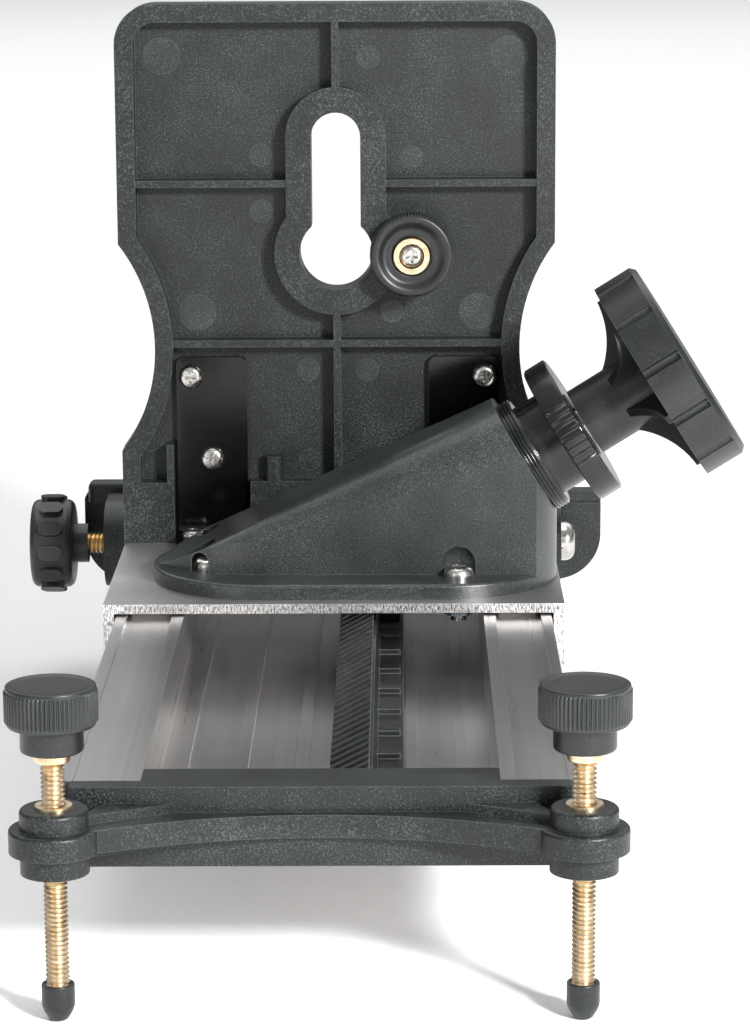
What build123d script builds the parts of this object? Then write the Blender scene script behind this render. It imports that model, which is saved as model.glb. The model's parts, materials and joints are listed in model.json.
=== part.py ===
from build123d import *
from math import asin, cos, degrees, pi, radians, sin, sqrt, tan
import os

# Wall mount for a rotary laser level: an aluminium rail with a gear rack, a carriage driven
# along it by a pinion on an inclined knob shaft, a ribbed platform plate with a keyhole for the
# laser's stud, two levelling screws at the front end and a pivoting hanger at the rear end.
# X is across the rail, Y runs along it towards the hanger, Z points away from the wall.
# The origin is on the wall plane, at the middle of the hanger.

os.makedirs("parts", exist_ok=True)

# ---------------------------------------------------------------- driving dimensions (mm)
rail_length = 330.0
rail_width = 137.6
rail_height = 21.7
rail_wall_gap = 37.7          # wall plane to the rail's underside
channel_width = 94.8
floor_thickness = 2.8
lip_inner_width = 3.8
lip_outer_width = 3.3
lip_height = 1.0
rail_wall = 2.8
rail_rear = -22.0             # rail's rear end, along the rail from the origin
floor_strip_places = [(5.5, 3.2), (22.6, 3.4)]   # inner edge and width, each side
floor_strip_height = 1.0
floor_groove = (37.5, 40.0)
floor_groove_depth = 0.9
cap_screw_x = 31.0
countersink_depth = 2.2
cap_screw_grip = 8.5
side_groove_depth = 1.9
side_groove_height = 2.9
side_groove_z = 4.4           # above the rail's underside

carriage_length = 109.5
carriage_rear_y = -59.0       # at rest
plate_thickness = 3.0
leg_thickness = 3.5
leg_lip = 2.2
leg_gap = 0.8                 # leg to rail side
plate_gap = 0.6               # carriage plate over the rail
glide_thickness = 1.55
glide_inset = 1.2             # strip inside the flange's recess
glide_end = 6.0               # strip short of the carriage's ends

drive_tilt = 32.0             # knob shaft above the horizontal
drive_x = 7.5                 # where the shaft axis crosses the height drive_z
drive_y = -127.0
rack_pitch = 6.4
pinion_teeth = 11
tooth_addendum_rack = 1.3
tooth_addendum_pinion = 1.5
root_clearance = 0.3
tooth_backlash = 0.4
pressure_angle = 20.0
helix_angle = 20.0
rack_left_x = 1.6
rack_crest_x = 12.6
rack_foot_x = 14.5
rack_ledge_x = 22.0
rack_ledge_height = 4.5
rack_below_rail_top = 0.5
rack_end_gap = 0.5
rack_screw_inset = 1.6        # from the crest edge
rack_screw_grip = 6.5
rack_crest_land = 0.8         # flat beside the teeth
rack_below_root = 1.5         # tooth prism sunk below the roots
pilot_extra = 0.5             # pilot holes past their screws
cleat_pitch = 24.0
cleat_length = 4.0
cleat_height = 1.6

shaft_d = 12.0
bushing_d = 26.0
pinion_start = -13.4          # along the shaft from the mesh point
pinion_end = 0.6
pinion_room = 1.2
bushing_start = 8.0
clip_thickness = 1.0
housing_half_depth = 22.0
flange_half_depth = 36.5
flange_thickness = 5.0
flange_edge = 1.2
flange_nose = 1.4             # flange beyond the wedge's nose
housing_end = 65.2            # along the shaft from the mesh point
collar_d = 39.0
collar_length = 4.5
collar_ridges = 4
collar_spigot_d = 30.0
collar_spigot_length = 8.0
sleeve_d = 32.0
ring_d = 49.0
ring_width = 8.1
ring_start = 78.3
ring_groups = 3
ring_group_notches = 8
ring_notch_angle = 6.6
ring_notch_size = 1.1
ring_edge = 0.7
ring_lip = 1.5                # ring's own end wall round the knob's hub
hub_room = 0.6
bore_room = 0.8               # shaft through the collar
hub_d = 23.0
knob_d = 70.0
knob_width = 14.7
knob_start = 112.2
knob_lobes = 12
knob_flute_width = 3.4
knob_flute_depth = 1.4
knob_edge = 1.6               # chamfer round the outer face
knob_land = 1.8               # flutes end short of the outer face
knob_rim = 5.0
knob_web = 4.0
knob_fins = 6
knob_fin_thickness = 3.0
knob_hub_gap = 0.7            # hub to drag ring
knob_bore_depth = 8.0         # past the knob's inner face

platform_width = 147.0
platform_height = 183.0
platform_depth = 12.3
platform_rear_y = -65.5
platform_web = 4.3
platform_rim = 6.2
platform_corner = 13.5
waist_radius = 59.0
waist_half_width = 61.7
waist_z = 67.5                # above the carriage plate
rib_width = 2.4
keyhole_slot = 16.45
keyhole_round = 24.6
keyhole_round_z = 99.5        # above the carriage plate
keyhole_rise = 39.0           # round hole's centre to the slot arc's centre
bracket_width = 24.0
bracket_inner_x = 31.0
bracket_height = 63.6
bracket_thickness = 3.0
bracket_foot_gap = 0.7        # bracket foot to the housing's flange
bracket_corner = 2.0
bracket_bend = 2.5
foot_screw_back = 8.0         # foot screws behind the foot's front edge
foot_screw_inset = 5.5        # first foot screw from the bracket's inner edge
foot_screw_spacing = 13.0

foot_inset = 0.3              # levelling screw inside the rail's side
foot_ahead = 18.0             # levelling screw ahead of the rail's front end
foot_thread_d = 6.35
foot_knob_d = 24.3
foot_knob_height = 10.7
foot_knob_rise = 20.3         # above the rail's top
foot_knob_cap = 3.0           # plastic over the rod's end
foot_collar_d = 16.5
foot_collar_height = 6.9
foot_flange_d = 9.5
foot_flange_height = 2.8
foot_knob_grooves = 60
foot_knob_knurl = 0.45
foot_tip_d = 8.7
foot_tip_height = 10.0
foot_tip_floor = 4.0
foot_insert_wall = 1.7
foot_insert_rise = 0.8
boss_d = 18.0
boss_ring_d = 23.8
boss_height = 17.3
boss_drop = 1.8               # below the rail's top
arm_drop = 7.0
arm_thickness = 6.3
arm_lead = 7.0                # arm's front edge ahead of the screws
arm_bow = 2.2                 # least reach of the edge arc ahead of the cap's face
arm_shoulder = 4.0            # edge arc ends inside the screws
arm_ear = 9.0                 # arm beyond the screws
gusset_width = 30.0
gusset_rise = 2.5             # gusset proud of the arm, above and below
cap_thickness = 6.0
cap_inset = 3.0               # front cap inside the rail's side
cap_plug = 11.0
plug_gap = 0.2                # plug above the floor strips

pivot_behind = 7.0            # behind the rail's rear end
pivot_drop = 10.0             # below the rail's top
pivot_boss_d = 19.0
pivot_boss_length = 17.6
pivot_insert_d = 11.0
pivot_insert_length = 16.0
pivot_head_d = 14.0
rear_cap_thickness = 9.0
lock_bore_depth = 26.0
lock_thread_d = 7.94
lock_knob_d = 35.0
lock_knob_width = 15.0
lock_knob_edge = 2.4          # rounding of the knob's rims
lock_hub_d = 14.0
lock_hub_length = 5.0
lock_open_gap = 6.6           # thread showing between hub and hanger boss
lock_ribs = 12
lock_rib_rise = 1.7
lock_rib_width = 5.4
lock_rib_end = 3.2            # rib short of the knob's faces
lock_reach = 12.5             # screw tip inside the cap's side
lock_screw_depth = 14.0       # thread inside the knob
lock_pad_length = 3.0
hanger_thickness = 6.0
hanger_rise = 5.0             # above the rail's top
hanger_ear_drop = 6.7         # below the rail's underside
hanger_ear_corner = 17.0
hanger_ear_reach = 9.5        # beyond the lock boss
hanger_ear_fillet = 3.0
hanger_neck_inset = 6.8       # inside the rail's side
hanger_neck_fillet = 6.0
hanger_foot_depth = 24.0
hanger_foot_thickness = 4.0
hanger_rib_x = 40.0
hanger_rib_top = 30.0
hanger_rib_thickness = 3.0
hanger_boss_d = 31.0
hanger_lock_boss_length = 10.9
hanger_free_boss_length = 4.5
hanger_brow_rise = 4.0        # left ear's thick brow above the plate's top
hanger_brow_height = 7.4
hanger_brow_depth = 3.0
hanger_groove = 1.0
hanger_groove_drop = 3.8      # below the plate's top
hanger_brow_inset = 1.5       # inside the ear's end
pad_thickness = 2.0
wall_hole_d = 5.5
wall_hole_spacing = 90.0

pan_head_m5 = 9.7
pan_head_m4 = 8.0
m5 = 5.0
m4 = 4.0
nut_point_radius = 9.0 / sqrt(3)   # nut 9 across its flats
nut_height = 4.0
bolt_end = 2.0                # housing bolts past their nuts

slide_gap = 0.4               # flat sliding faces
side_gap = 0.5                # rear cap and hanger arms, beside each other
knob_gap = 0.7                # turning knob past a fixed face
shaft_gap = 0.05              # radial, shaft in bush
seat_gap = 0.1                # plug in its seat
hole_gap = 0.25               # radial, screw in clearance hole

# ---------------------------------------------------------------- derived places
rail_top = rail_wall_gap + rail_height
rail_front = rail_rear - rail_length
half_rail = rail_width / 2
half_channel = channel_width / 2
floor_top = rail_wall_gap + floor_thickness
plate_bottom = rail_top + plate_gap
plate_top = plate_bottom + plate_thickness
leg_inner = half_rail + leg_gap
leg_outer = leg_inner + leg_thickness
carriage_front_y = carriage_rear_y - carriage_length
tilt = radians(drive_tilt)
pitch_radius = pinion_teeth * rack_pitch / (2 * pi)
along_shaft = Vector(cos(tilt), 0, sin(tilt))
crest_z = rail_top - rack_below_rail_top
tip_distance = pitch_radius - tooth_addendum_rack
drive_z = crest_z - (rack_crest_x - drive_x) * tan(tilt) + tip_distance / cos(tilt)
mesh_point = Vector(drive_x, drive_y, drive_z)
platform_front_y = platform_rear_y - platform_depth
web_front_y = platform_rear_y - platform_web
platform_top = plate_top + platform_height
flange_top = plate_top + flange_thickness
bracket_foot = web_front_y - (drive_y + flange_half_depth) - bracket_foot_gap
foot_x = half_rail - foot_inset
foot_y = rail_front - foot_ahead
foot_knob_z = rail_top + foot_knob_rise
boss_top_z = rail_top - boss_drop
arm_top_z = rail_top - arm_drop
pivot_y = rail_rear + pivot_behind
pivot_z = rail_top - pivot_drop
cap_side_x = leg_outer + side_gap
arm_inner_x = cap_side_x + side_gap
free_arm_outer_x = arm_inner_x + hanger_free_boss_length
lock_arm_outer_x = arm_inner_x + hanger_lock_boss_length
hanger_half_width = lock_arm_outer_x + hanger_ear_reach
hanger_neck_half_width = half_rail - hanger_neck_inset
hanger_front = pivot_y + lock_knob_d / 2 + knob_gap
hanger_rear = hanger_front + hanger_thickness
hanger_top_z = rail_top + hanger_rise
hanger_ear_bottom_z = rail_wall_gap - hanger_ear_drop
lock_hub_x = -lock_arm_outer_x - lock_open_gap
lock_knob_x = lock_hub_x - lock_hub_length
lock_tip_x = -cap_side_x + lock_reach
collar_seat = housing_end - collar_spigot_length
hub_start = ring_start + ring_width + knob_hub_gap

BASE = (Align.CENTER, Align.CENTER, Align.MIN)
LEFT = Vector(-1, 0, 0)
RIGHT = Vector(1, 0, 0)
FRONT = Vector(0, -1, 0)
UP = Vector(0, 0, 1)
DOWN = Vector(0, 0, -1)


def block(x0, x1, y0, y1, z0, z1):
    """Box given by its limits."""
    return Pos((x0 + x1) / 2, (y0 + y1) / 2, (z0 + z1) / 2) * Box(x1 - x0, y1 - y0, z1 - z0)


def both_sides(shape):
    """A shape and its mirror image across the rail's middle plane."""
    return shape + mirror(shape, Plane.YZ)


def rod(start, along, radius, length):
    """Round bar from a start point along a direction."""
    return Plane(origin=start, z_dir=along) * Cylinder(radius, length, align=BASE)


def on_shaft(distance):
    """Plane square to the knob shaft, its x along the rail, at a distance from the mesh point."""
    origin = mesh_point + along_shaft * distance
    return Plane(origin=origin, x_dir=(0, 1, 0), z_dir=along_shaft)


def shaft_ring(start, end, outer, inner=0.0):
    """Round piece on the knob shaft's axis between two distances."""
    ring = Cylinder(outer, end - start, align=BASE)
    if inner > 0:
        ring -= Cylinder(inner, end - start, align=BASE)
    return on_shaft(start) * ring


def top_rim(shape):
    """The outermost circle of a round piece's top face."""
    return shape.edges().group_by(Axis.Z)[-1].sort_by(SortBy.RADIUS)[-1]


def pan_screw(head_d, shank_d, length):
    """Cross-recessed pan-head screw: seat at z 0, head above, shank below."""
    head_h = head_d * 0.36
    head = Cylinder(head_d / 2, head_h, align=BASE)
    head = fillet(top_rim(head), head_h * 0.7)
    arm = Pos(0, 0, head_h * 0.45) * Box(head_d * 0.5, head_d * 0.12, head_h, align=BASE)
    recess = arm + Rot(0, 0, 90) * arm
    shank = Pos(0, 0, -length) * Cylinder(shank_d / 2, length, align=BASE)
    return head - recess + shank


def flat_screw(head_d, shank_d, length):
    """Countersunk screw: head's flat at z 0, everything below."""
    cone_h = (head_d - shank_d) / 2
    cone = Pos(0, 0, -cone_h) * Cone(shank_d / 2, head_d / 2, cone_h, align=BASE)
    shank = Pos(0, 0, -length) * Cylinder(shank_d / 2, length, align=BASE)
    slot = Pos(0, 0, -0.9) * Box(head_d * 0.55, head_d * 0.13, 1.0, align=BASE)
    return cone + shank - slot - Rot(0, 0, 90) * slot


def seat(point, along):
    """Local frame of a screw whose head points along a direction."""
    return Plane(origin=point, z_dir=along)


def knurled_disc(radius, height, grooves, depth):
    """Disc with a straight knurl and a softened top rim."""
    disc = Cylinder(radius, height, align=BASE)
    disc = fillet(top_rim(disc), min(1.2, height * 0.2))
    cutter = Pos(radius, 0, 0) * Rot(0, 0, 45) * Box(depth * 1.4, depth * 1.4, height, align=BASE)
    cuts = [Rot(0, 0, 360 * i / grooves) * cutter for i in range(grooves)]
    return disc - Compound(cuts)


def save(name, shape):
    """Write one sub-part, as a compound when it holds several solids."""
    solids = shape.solids()
    kept = solids[0] if len(solids) == 1 else Compound(children=list(solids))
    kept.label = name
    export_step(kept, f"parts/{name}.step")
    print(name, len(solids))


# ---------------------------------------------------------------- rail and rack
def make_rail():
    y0, y1 = rail_front, rail_rear
    rail = block(-half_rail, half_rail, y0, y1, rail_wall_gap, rail_top)
    rail -= block(-half_channel, half_channel, y0, y1, floor_top, rail_top)
    recess_in = half_channel + lip_inner_width
    recess_out = half_rail - lip_outer_width
    rail -= both_sides(block(recess_in, recess_out, y0, y1, rail_top - lip_height, rail_top))
    hollow_out = half_rail - rail_wall - side_groove_depth
    hollow = block(half_channel + rail_wall, hollow_out, y0, y1,
                   rail_wall_gap + rail_wall, rail_top - lip_height - rail_wall)
    rail -= both_sides(hollow)
    groove_z = rail_wall_gap + side_groove_z
    rail -= both_sides(block(half_rail - side_groove_depth, half_rail, y0, y1,
                             groove_z, groove_z + side_groove_height))
    groove_in, groove_out = floor_groove
    rail -= both_sides(block(groove_in, groove_out, y0, y1, floor_top - floor_groove_depth, floor_top))
    for inner, width in floor_strip_places:
        rail += both_sides(block(inner, inner + width, y0, y1, floor_top, floor_top + floor_strip_height))
    for x, y in cap_screw_places() + rack_screw_places():
        point = (x, y, rail_wall_gap)
        rail -= rod(point, UP, m4 / 2 + hole_gap, floor_thickness + floor_strip_height)
        sink = Cone(m4 / 2, pan_head_m4 / 2 + seat_gap, countersink_depth, align=BASE)
        rail -= seat(point, DOWN) * Pos(0, 0, -countersink_depth) * sink
    return rail


def cap_screw_places():
    """Screws from below into the two end caps' plugs."""
    inset = cap_plug / 2
    return [(x, y) for x in (-cap_screw_x, cap_screw_x) for y in (rail_front + inset, rail_rear - inset)]


def rack_ends():
    return rail_front + cap_plug + rack_end_gap, rail_rear - cap_plug - rack_end_gap


def rack_screw_places():
    start, end = rack_ends()
    return [(rack_crest_x - rack_screw_inset, start + (end - start) * share) for share in (0.06, 0.5, 0.94)]


def rack_teeth():
    """Row of slanted teeth as one long prism, square to the knob shaft's plane."""
    y_start, y_end = rack_ends()
    tip = -tip_distance
    root = -(pitch_radius + tooth_addendum_pinion + root_clearance)
    flank = tan(radians(pressure_angle))
    half_pitch_line = (rack_pitch - tooth_backlash) / 4
    half_tip = half_pitch_line - tooth_addendum_rack * flank
    half_root = half_pitch_line + (tooth_addendum_pinion + root_clearance) * flank
    face_start = (rack_left_x - rack_crest_x) / cos(tilt)
    slant = tan(radians(helix_angle))
    first = int((y_start - drive_y) / rack_pitch) - 2
    last = int((y_end - drive_y) / rack_pitch) + 2
    outline = [(first * rack_pitch - half_root, root - rack_below_root)]
    for k in range(first, last + 1):
        middle = k * rack_pitch
        outline += [(middle - half_root, root), (middle - half_tip, tip)]
        outline += [(middle + half_tip, tip), (middle + half_root, root)]
    outline.append((last * rack_pitch + half_root, root - rack_below_root))
    flat = [(x - slant * (face_start - 1.0), y) for x, y in outline]
    face = on_shaft(face_start - 1.0) * make_face(Polyline(*flat, close=True))
    run = Vector(0, -slant, 0) + along_shaft
    length = 2.0 - face_start
    teeth = extrude(face, amount=length * run.length, dir=run.normalized())
    return teeth & block(rack_left_x, rack_crest_x, y_start, y_end, floor_top, crest_z + 1)


def make_rack():
    y0, y1 = rack_ends()
    root_drop = (tooth_addendum_rack + tooth_addendum_pinion + root_clearance) / cos(tilt)
    left_root = crest_z - (rack_crest_x - rack_left_x) * tan(tilt) - root_drop
    ledge_top = floor_top + rack_ledge_height
    outline = [(rack_left_x, floor_top), (rack_left_x, left_root),
               (rack_crest_x, crest_z - root_drop), (rack_crest_x + rack_crest_land, crest_z - root_drop),
               (rack_foot_x, ledge_top), (rack_ledge_x, ledge_top), (rack_ledge_x, floor_top)]
    section = Plane.XZ * make_face(Polyline(*outline, close=True))
    body = Pos(0, y1, 0) * extrude(section, amount=y1 - y0)
    rack = body + rack_teeth()
    inner, width = floor_strip_places[0]
    rack -= block(inner - seat_gap, inner + width + seat_gap, y0, y1,
                  floor_top, floor_top + floor_strip_height + seat_gap)
    for x, y in rack_screw_places():
        rack -= rod((x, y, floor_top), UP, m4 / 2, rack_screw_grip + pilot_extra)
    for i in range(int((y1 - y0) / cleat_pitch)):
        y = y0 + (i + 0.5) * cleat_pitch
        rack += block(rack_foot_x - 0.5, rack_ledge_x - 1.0, y - cleat_length / 2, y + cleat_length / 2,
                      ledge_top, ledge_top + cleat_height)
    return rack


def floor_screws(places, length):
    shape = None
    for x, y in places:
        one = seat((x, y, rail_wall_gap), DOWN) * flat_screw(pan_head_m4, m4, length)
        shape = one if shape is None else shape + one
    return shape


# ---------------------------------------------------------------- front end
plug_bottom = floor_top + floor_strip_height + plug_gap


def make_front_cap():
    y_face = rail_front - cap_thickness
    half_plug = half_channel - seat_gap
    half_face = half_rail - cap_inset
    cap = block(-half_face, half_face, y_face, rail_front, rail_wall_gap, rail_top)
    cap += block(-half_plug, half_plug, rail_front, rail_front + cap_plug, plug_bottom, rail_top)
    arm_bottom = arm_top_z - arm_thickness
    edge_y = foot_y - arm_lead
    shoulder = foot_x - arm_shoulder
    ear = foot_x + arm_ear
    edge = ThreePointArc((-shoulder, edge_y), (0, y_face - arm_bow), (shoulder, edge_y))
    back = Polyline((shoulder, edge_y), (ear, foot_y), (shoulder, y_face + 1),
                    (-shoulder, y_face + 1), (-ear, foot_y), (-shoulder, edge_y))
    web = extrude(make_face(Curve() + [edge, back]), amount=arm_thickness)
    cap += Pos(0, 0, arm_bottom) * web
    for side in (-1, 1):
        x = side * foot_x
        boss = Pos(x, foot_y, boss_top_z - boss_height) * Cylinder(boss_d / 2, boss_height, align=BASE)
        ring = Pos(x, foot_y, arm_bottom) * Cylinder(boss_ring_d / 2, arm_thickness, align=BASE)
        cap += fillet(top_rim(boss), 1.2) + fillet(top_rim(ring), 1.0)
        gusset = Polyline((side * (foot_x - gusset_width), y_face),
                          (side * (foot_x - 0.4 * gusset_width), y_face),
                          (side * (foot_x - 0.2 * gusset_width), foot_y), close=True)
        slab = extrude(make_face(gusset), amount=arm_thickness + 2 * gusset_rise)
        cap += Pos(0, 0, arm_bottom - gusset_rise) * slab
        cap -= Pos(x, foot_y, 0) * Cylinder(insert_d() / 2, 200)
    for x, y in cap_screw_places():
        if y < rail_front + cap_plug:
            cap -= rod((x, y, floor_top), UP, m4 / 2, cap_screw_grip + pilot_extra)
    return cap


def insert_d():
    return foot_thread_d + 2 * foot_insert_wall


def make_foot_inserts():
    shape = None
    for side in (-1, 1):
        base = Pos(side * foot_x, foot_y, boss_top_z - boss_height)
        height = boss_height + foot_insert_rise
        body = Cylinder(insert_d() / 2, height, align=BASE)
        body -= Cylinder(foot_thread_d / 2 + shaft_gap, height, align=BASE)
        shape = base * body if shape is None else shape + base * body
    return shape


def foot_at(side):
    return Pos(side * foot_x, foot_y, 0)


def make_foot_tip(side):
    radius = foot_tip_d / 2
    low, high = 0.24 * foot_tip_height, 0.4 * foot_tip_height
    shell = Pos(0, 0, high) * Cylinder(radius, foot_tip_height - high, align=BASE)
    shell += Pos(0, 0, low) * Cone(0.8 * radius, radius, high - low, align=BASE)
    shell += Cone(0.5 * radius, 0.8 * radius, low, align=BASE)
    shell -= Pos(0, 0, foot_tip_floor) * Cylinder(foot_thread_d / 2 + shaft_gap, foot_tip_height, align=BASE)
    return foot_at(side) * shell


foot_rod_top = foot_knob_z + foot_knob_height - foot_knob_cap


def make_foot_screw(side):
    bottom = foot_tip_floor + seat_gap
    screw = Pos(0, 0, bottom) * Cylinder(foot_thread_d / 2, foot_rod_top - bottom, align=BASE)
    flange_z = foot_knob_z - foot_collar_height - foot_flange_height
    screw += Pos(0, 0, flange_z) * Cylinder(foot_flange_d / 2, foot_flange_height, align=BASE)
    return foot_at(side) * screw


def make_foot_knob(side):
    disc = knurled_disc(foot_knob_d / 2, foot_knob_height, foot_knob_grooves, foot_knob_knurl)
    collar_z = foot_knob_z - foot_collar_height
    collar = Pos(0, 0, collar_z) * Cylinder(foot_collar_d / 2, foot_collar_height, align=BASE)
    knob = Pos(0, 0, foot_knob_z) * disc + chamfer(collar.edges().sort_by(Axis.Z)[0], 0.8)
    knob -= Pos(0, 0, collar_z) * Cylinder(foot_thread_d / 2, foot_rod_top - collar_z, align=BASE)
    return foot_at(side) * knob


# ---------------------------------------------------------------- rear end and hanger
def pivot_frame(x, along=RIGHT):
    return Plane(origin=(x, pivot_y, pivot_z), z_dir=along)


def make_rear_cap():
    half_plug = half_channel - seat_gap
    cap = block(-cap_side_x, cap_side_x, rail_rear, rail_rear + rear_cap_thickness, rail_wall_gap, rail_top)
    cap += block(-half_plug, half_plug, rail_rear - cap_plug, rail_rear, plug_bottom, rail_top)
    boss = pivot_frame(cap_side_x - pivot_boss_length) * Cylinder(
        pivot_boss_d / 2, pivot_boss_length, align=BASE)
    boss -= block(0, 2 * cap_side_x, rail_rear - 2 * pivot_boss_d, rail_rear, 0, 2 * rail_top)
    cap += both_sides(boss)
    for side in (-1, 1):
        inward = LEFT * side
        bore = pivot_frame(side * cap_side_x, inward)
        cap -= bore * Cylinder(pivot_insert_d / 2, pivot_insert_length, align=BASE)
        cap -= bore * Cylinder(lock_thread_d / 2 + seat_gap, lock_bore_depth, align=BASE)
    for x, y in cap_screw_places():
        if y > rail_rear - cap_plug:
            cap -= rod((x, y, floor_top), UP, m4 / 2, cap_screw_grip + pilot_extra)
    return cap


def make_pivot_inserts():
    shape = None
    for side in (-1, 1):
        frame = pivot_frame(side * cap_side_x, LEFT * side)
        ring = Cylinder(pivot_insert_d / 2, pivot_insert_length, align=BASE)
        ring -= Cylinder(lock_thread_d / 2 + shaft_gap, pivot_insert_length, align=BASE)
        shape = frame * ring if shape is None else shape + frame * ring
    return shape


def hanger_outline():
    """Half of the hanger plate, seen along the rail, with a rounded lower ear corner."""
    ear = hanger_half_width
    low = hanger_ear_bottom_z
    neck = hanger_neck_half_width
    points = [(0, pad_thickness), (neck, pad_thickness), (neck, low), (ear, low),
              (ear, hanger_top_z), (0, hanger_top_z)]
    face = make_face(Polyline(*points, close=True))
    corners = face.vertices()
    lower_ear = corners.sort_by_distance((ear, low, 0))[0]
    inner = corners.sort_by_distance((neck, low, 0))[0]
    upper_ear = corners.sort_by_distance((ear, hanger_top_z, 0))[0]
    face = fillet(lower_ear, hanger_ear_corner)
    face = fillet(face.vertices().sort_by_distance(inner.center())[0], hanger_neck_fillet)
    return fillet(face.vertices().sort_by_distance(upper_ear.center())[0], hanger_ear_fillet)


def make_hanger():
    half = extrude(Plane.XZ * hanger_outline(), amount=hanger_thickness)
    plate = Pos(0, hanger_rear, 0) * both_sides(half)
    neck = hanger_neck_half_width
    foot_front = hanger_rear - hanger_foot_depth
    foot_top = pad_thickness + hanger_foot_thickness
    plate += block(-neck, neck, foot_front, hanger_rear, pad_thickness, foot_top)
    for x in (-hanger_rib_x, 0.0, hanger_rib_x):
        rib = Polyline((foot_front + 3, foot_top), (hanger_front, foot_top), (hanger_front, hanger_rib_top),
                       close=True)
        web = extrude(Plane.YZ * make_face(rib), amount=hanger_rib_thickness)
        plate += Pos(x - hanger_rib_thickness / 2, 0, 0) * web
    radius = hanger_boss_d / 2
    for x0, x1 in ((-lock_arm_outer_x, -arm_inner_x), (arm_inner_x, free_arm_outer_x)):
        plate += pivot_frame(x0) * Cylinder(radius, x1 - x0, align=BASE)
        plate += block(x0, x1, pivot_y, hanger_rear - 1, pivot_z - radius, pivot_z + radius)
        plate -= pivot_frame(x0) * Cylinder(lock_thread_d / 2 + seat_gap, x1 - x0, align=BASE)
    brow_top = hanger_top_z + hanger_brow_rise
    brow = block(-hanger_half_width + hanger_brow_inset, -arm_inner_x,
                 hanger_front - hanger_brow_depth, hanger_rear, brow_top - hanger_brow_height, brow_top)
    brow = fillet(brow.edges().filter_by(Axis.X).group_by(Axis.Z)[-1], hanger_brow_depth * 0.8)
    plate += fillet(brow.edges().filter_by(Axis.Y).group_by(Axis.X)[0][-1], hanger_ear_fillet * 0.8)
    groove_z = hanger_top_z - hanger_groove_drop - hanger_groove
    plate -= block(free_arm_outer_x, hanger_half_width + 1, hanger_front, hanger_front + hanger_groove,
                   groove_z, groove_z + hanger_groove)
    for x in (-wall_hole_spacing / 2, wall_hole_spacing / 2):
        plate -= rod((x, hole_y, pad_thickness), UP, wall_hole_d / 2, hanger_foot_thickness)
    return plate


hole_y = hanger_rear - hanger_foot_depth / 2 - 2.0


def make_wall_pad():
    neck = hanger_neck_half_width
    pad = block(-neck, neck, hanger_rear - hanger_foot_depth, hanger_rear, 0, pad_thickness)
    for x in (-wall_hole_spacing / 2, wall_hole_spacing / 2):
        pad -= rod((x, hole_y, 0), UP, wall_hole_d / 2 + 0.5, pad_thickness)
    return pad


def make_pivot_screw():
    reach = pivot_insert_length - 2.0
    head_x = free_arm_outer_x + slide_gap
    return pivot_frame(head_x) * pan_screw(pivot_head_d, lock_thread_d, head_x - cap_side_x + reach)


def make_lock_knob():
    radius = lock_knob_d / 2 - lock_rib_rise
    disc = Cylinder(radius, lock_knob_width, align=BASE)
    disc = fillet(disc.edges().filter_by(GeomType.CIRCLE), lock_knob_edge)
    for i in range(lock_ribs):
        disc += Rot(0, 0, 360 * i / lock_ribs) * Pos(radius, 0, lock_knob_width / 2) * rib_pill()
    knob = pivot_frame(lock_knob_x, LEFT) * disc
    knob += pivot_frame(lock_hub_x, LEFT) * Cylinder(lock_hub_d / 2, lock_hub_length + 1.0, align=BASE)
    return knob - pivot_frame(lock_hub_x, LEFT) * Cylinder(lock_thread_d / 2, lock_screw_depth, align=BASE)


def rib_pill():
    """Raised oval grip rib on the lock knob's rim."""
    pill = Box(2 * lock_rib_rise, lock_rib_width, lock_knob_width - 2 * lock_rib_end)
    return fillet(pill.edges().filter_by(Axis.X), lock_rib_width * 0.48)


def make_lock_screw():
    start = lock_hub_x - lock_screw_depth
    return pivot_frame(start) * Cylinder(lock_thread_d / 2, lock_tip_x - start, align=BASE)


def make_lock_pad():
    return pivot_frame(lock_tip_x) * Cylinder(lock_thread_d / 2, lock_pad_length, align=BASE)


# ---------------------------------------------------------------- carriage
def housing_screw_places():
    front = [(-41.2, 12.1), (39.8, housing_half_depth + 3.3)]
    return [(x, drive_y + reach * side) for x, reach in front for side in (-1, 1)]


def bracket_foot_places():
    y = web_front_y - bracket_foot + foot_screw_back
    inner = bracket_inner_x + foot_screw_inset
    return [(side * x, y) for side in (-1, 1) for x in (inner, inner + foot_screw_spacing)]


def make_carriage():
    y0, y1 = carriage_front_y, carriage_rear_y
    leg_bottom = rail_wall_gap + side_groove_z + slide_gap
    body = block(-leg_outer, leg_outer, y0, y1, leg_bottom, plate_top)
    body -= block(-leg_inner, leg_inner, y0, y1, leg_bottom, plate_bottom)
    lip_top = leg_bottom + side_groove_height - 2 * slide_gap
    lip = block(leg_inner - leg_lip, leg_inner, y0, y1, leg_bottom, lip_top)
    body += both_sides(lip)
    room = pitch_radius + tooth_addendum_pinion + 2.8
    body -= block(drive_x - room - 8.5, drive_x + room + 2.5, drive_y - room, drive_y + room,
                  plate_bottom, plate_top)
    for x, y in housing_screw_places():
        body -= rod((x, y, plate_bottom), UP, m5 / 2 + hole_gap, plate_thickness)
    for x, y in bracket_foot_places():
        body -= rod((x, y, plate_bottom), UP, m4 / 2, plate_thickness)
    return body


def make_glide_strips():
    inner = half_channel + lip_inner_width + glide_inset
    outer = half_rail - lip_outer_width - glide_inset
    strip = block(inner, outer, carriage_front_y + glide_end, carriage_rear_y - glide_end,
                  plate_bottom - glide_thickness, plate_bottom)
    return both_sides(strip)


housing_left_x = -58.4
housing_right_x = leg_outer - 0.8
housing_nose_x = -20.0
housing_rise = 25.6           # ridge above the horizontal
housing_wall = 3.2
housing_roof = 3.0
pocket_left_x = -27.0
screw_pocket_r = 6.4
screw_pocket_height = 7.5
shaft_wall = 4.0


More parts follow.
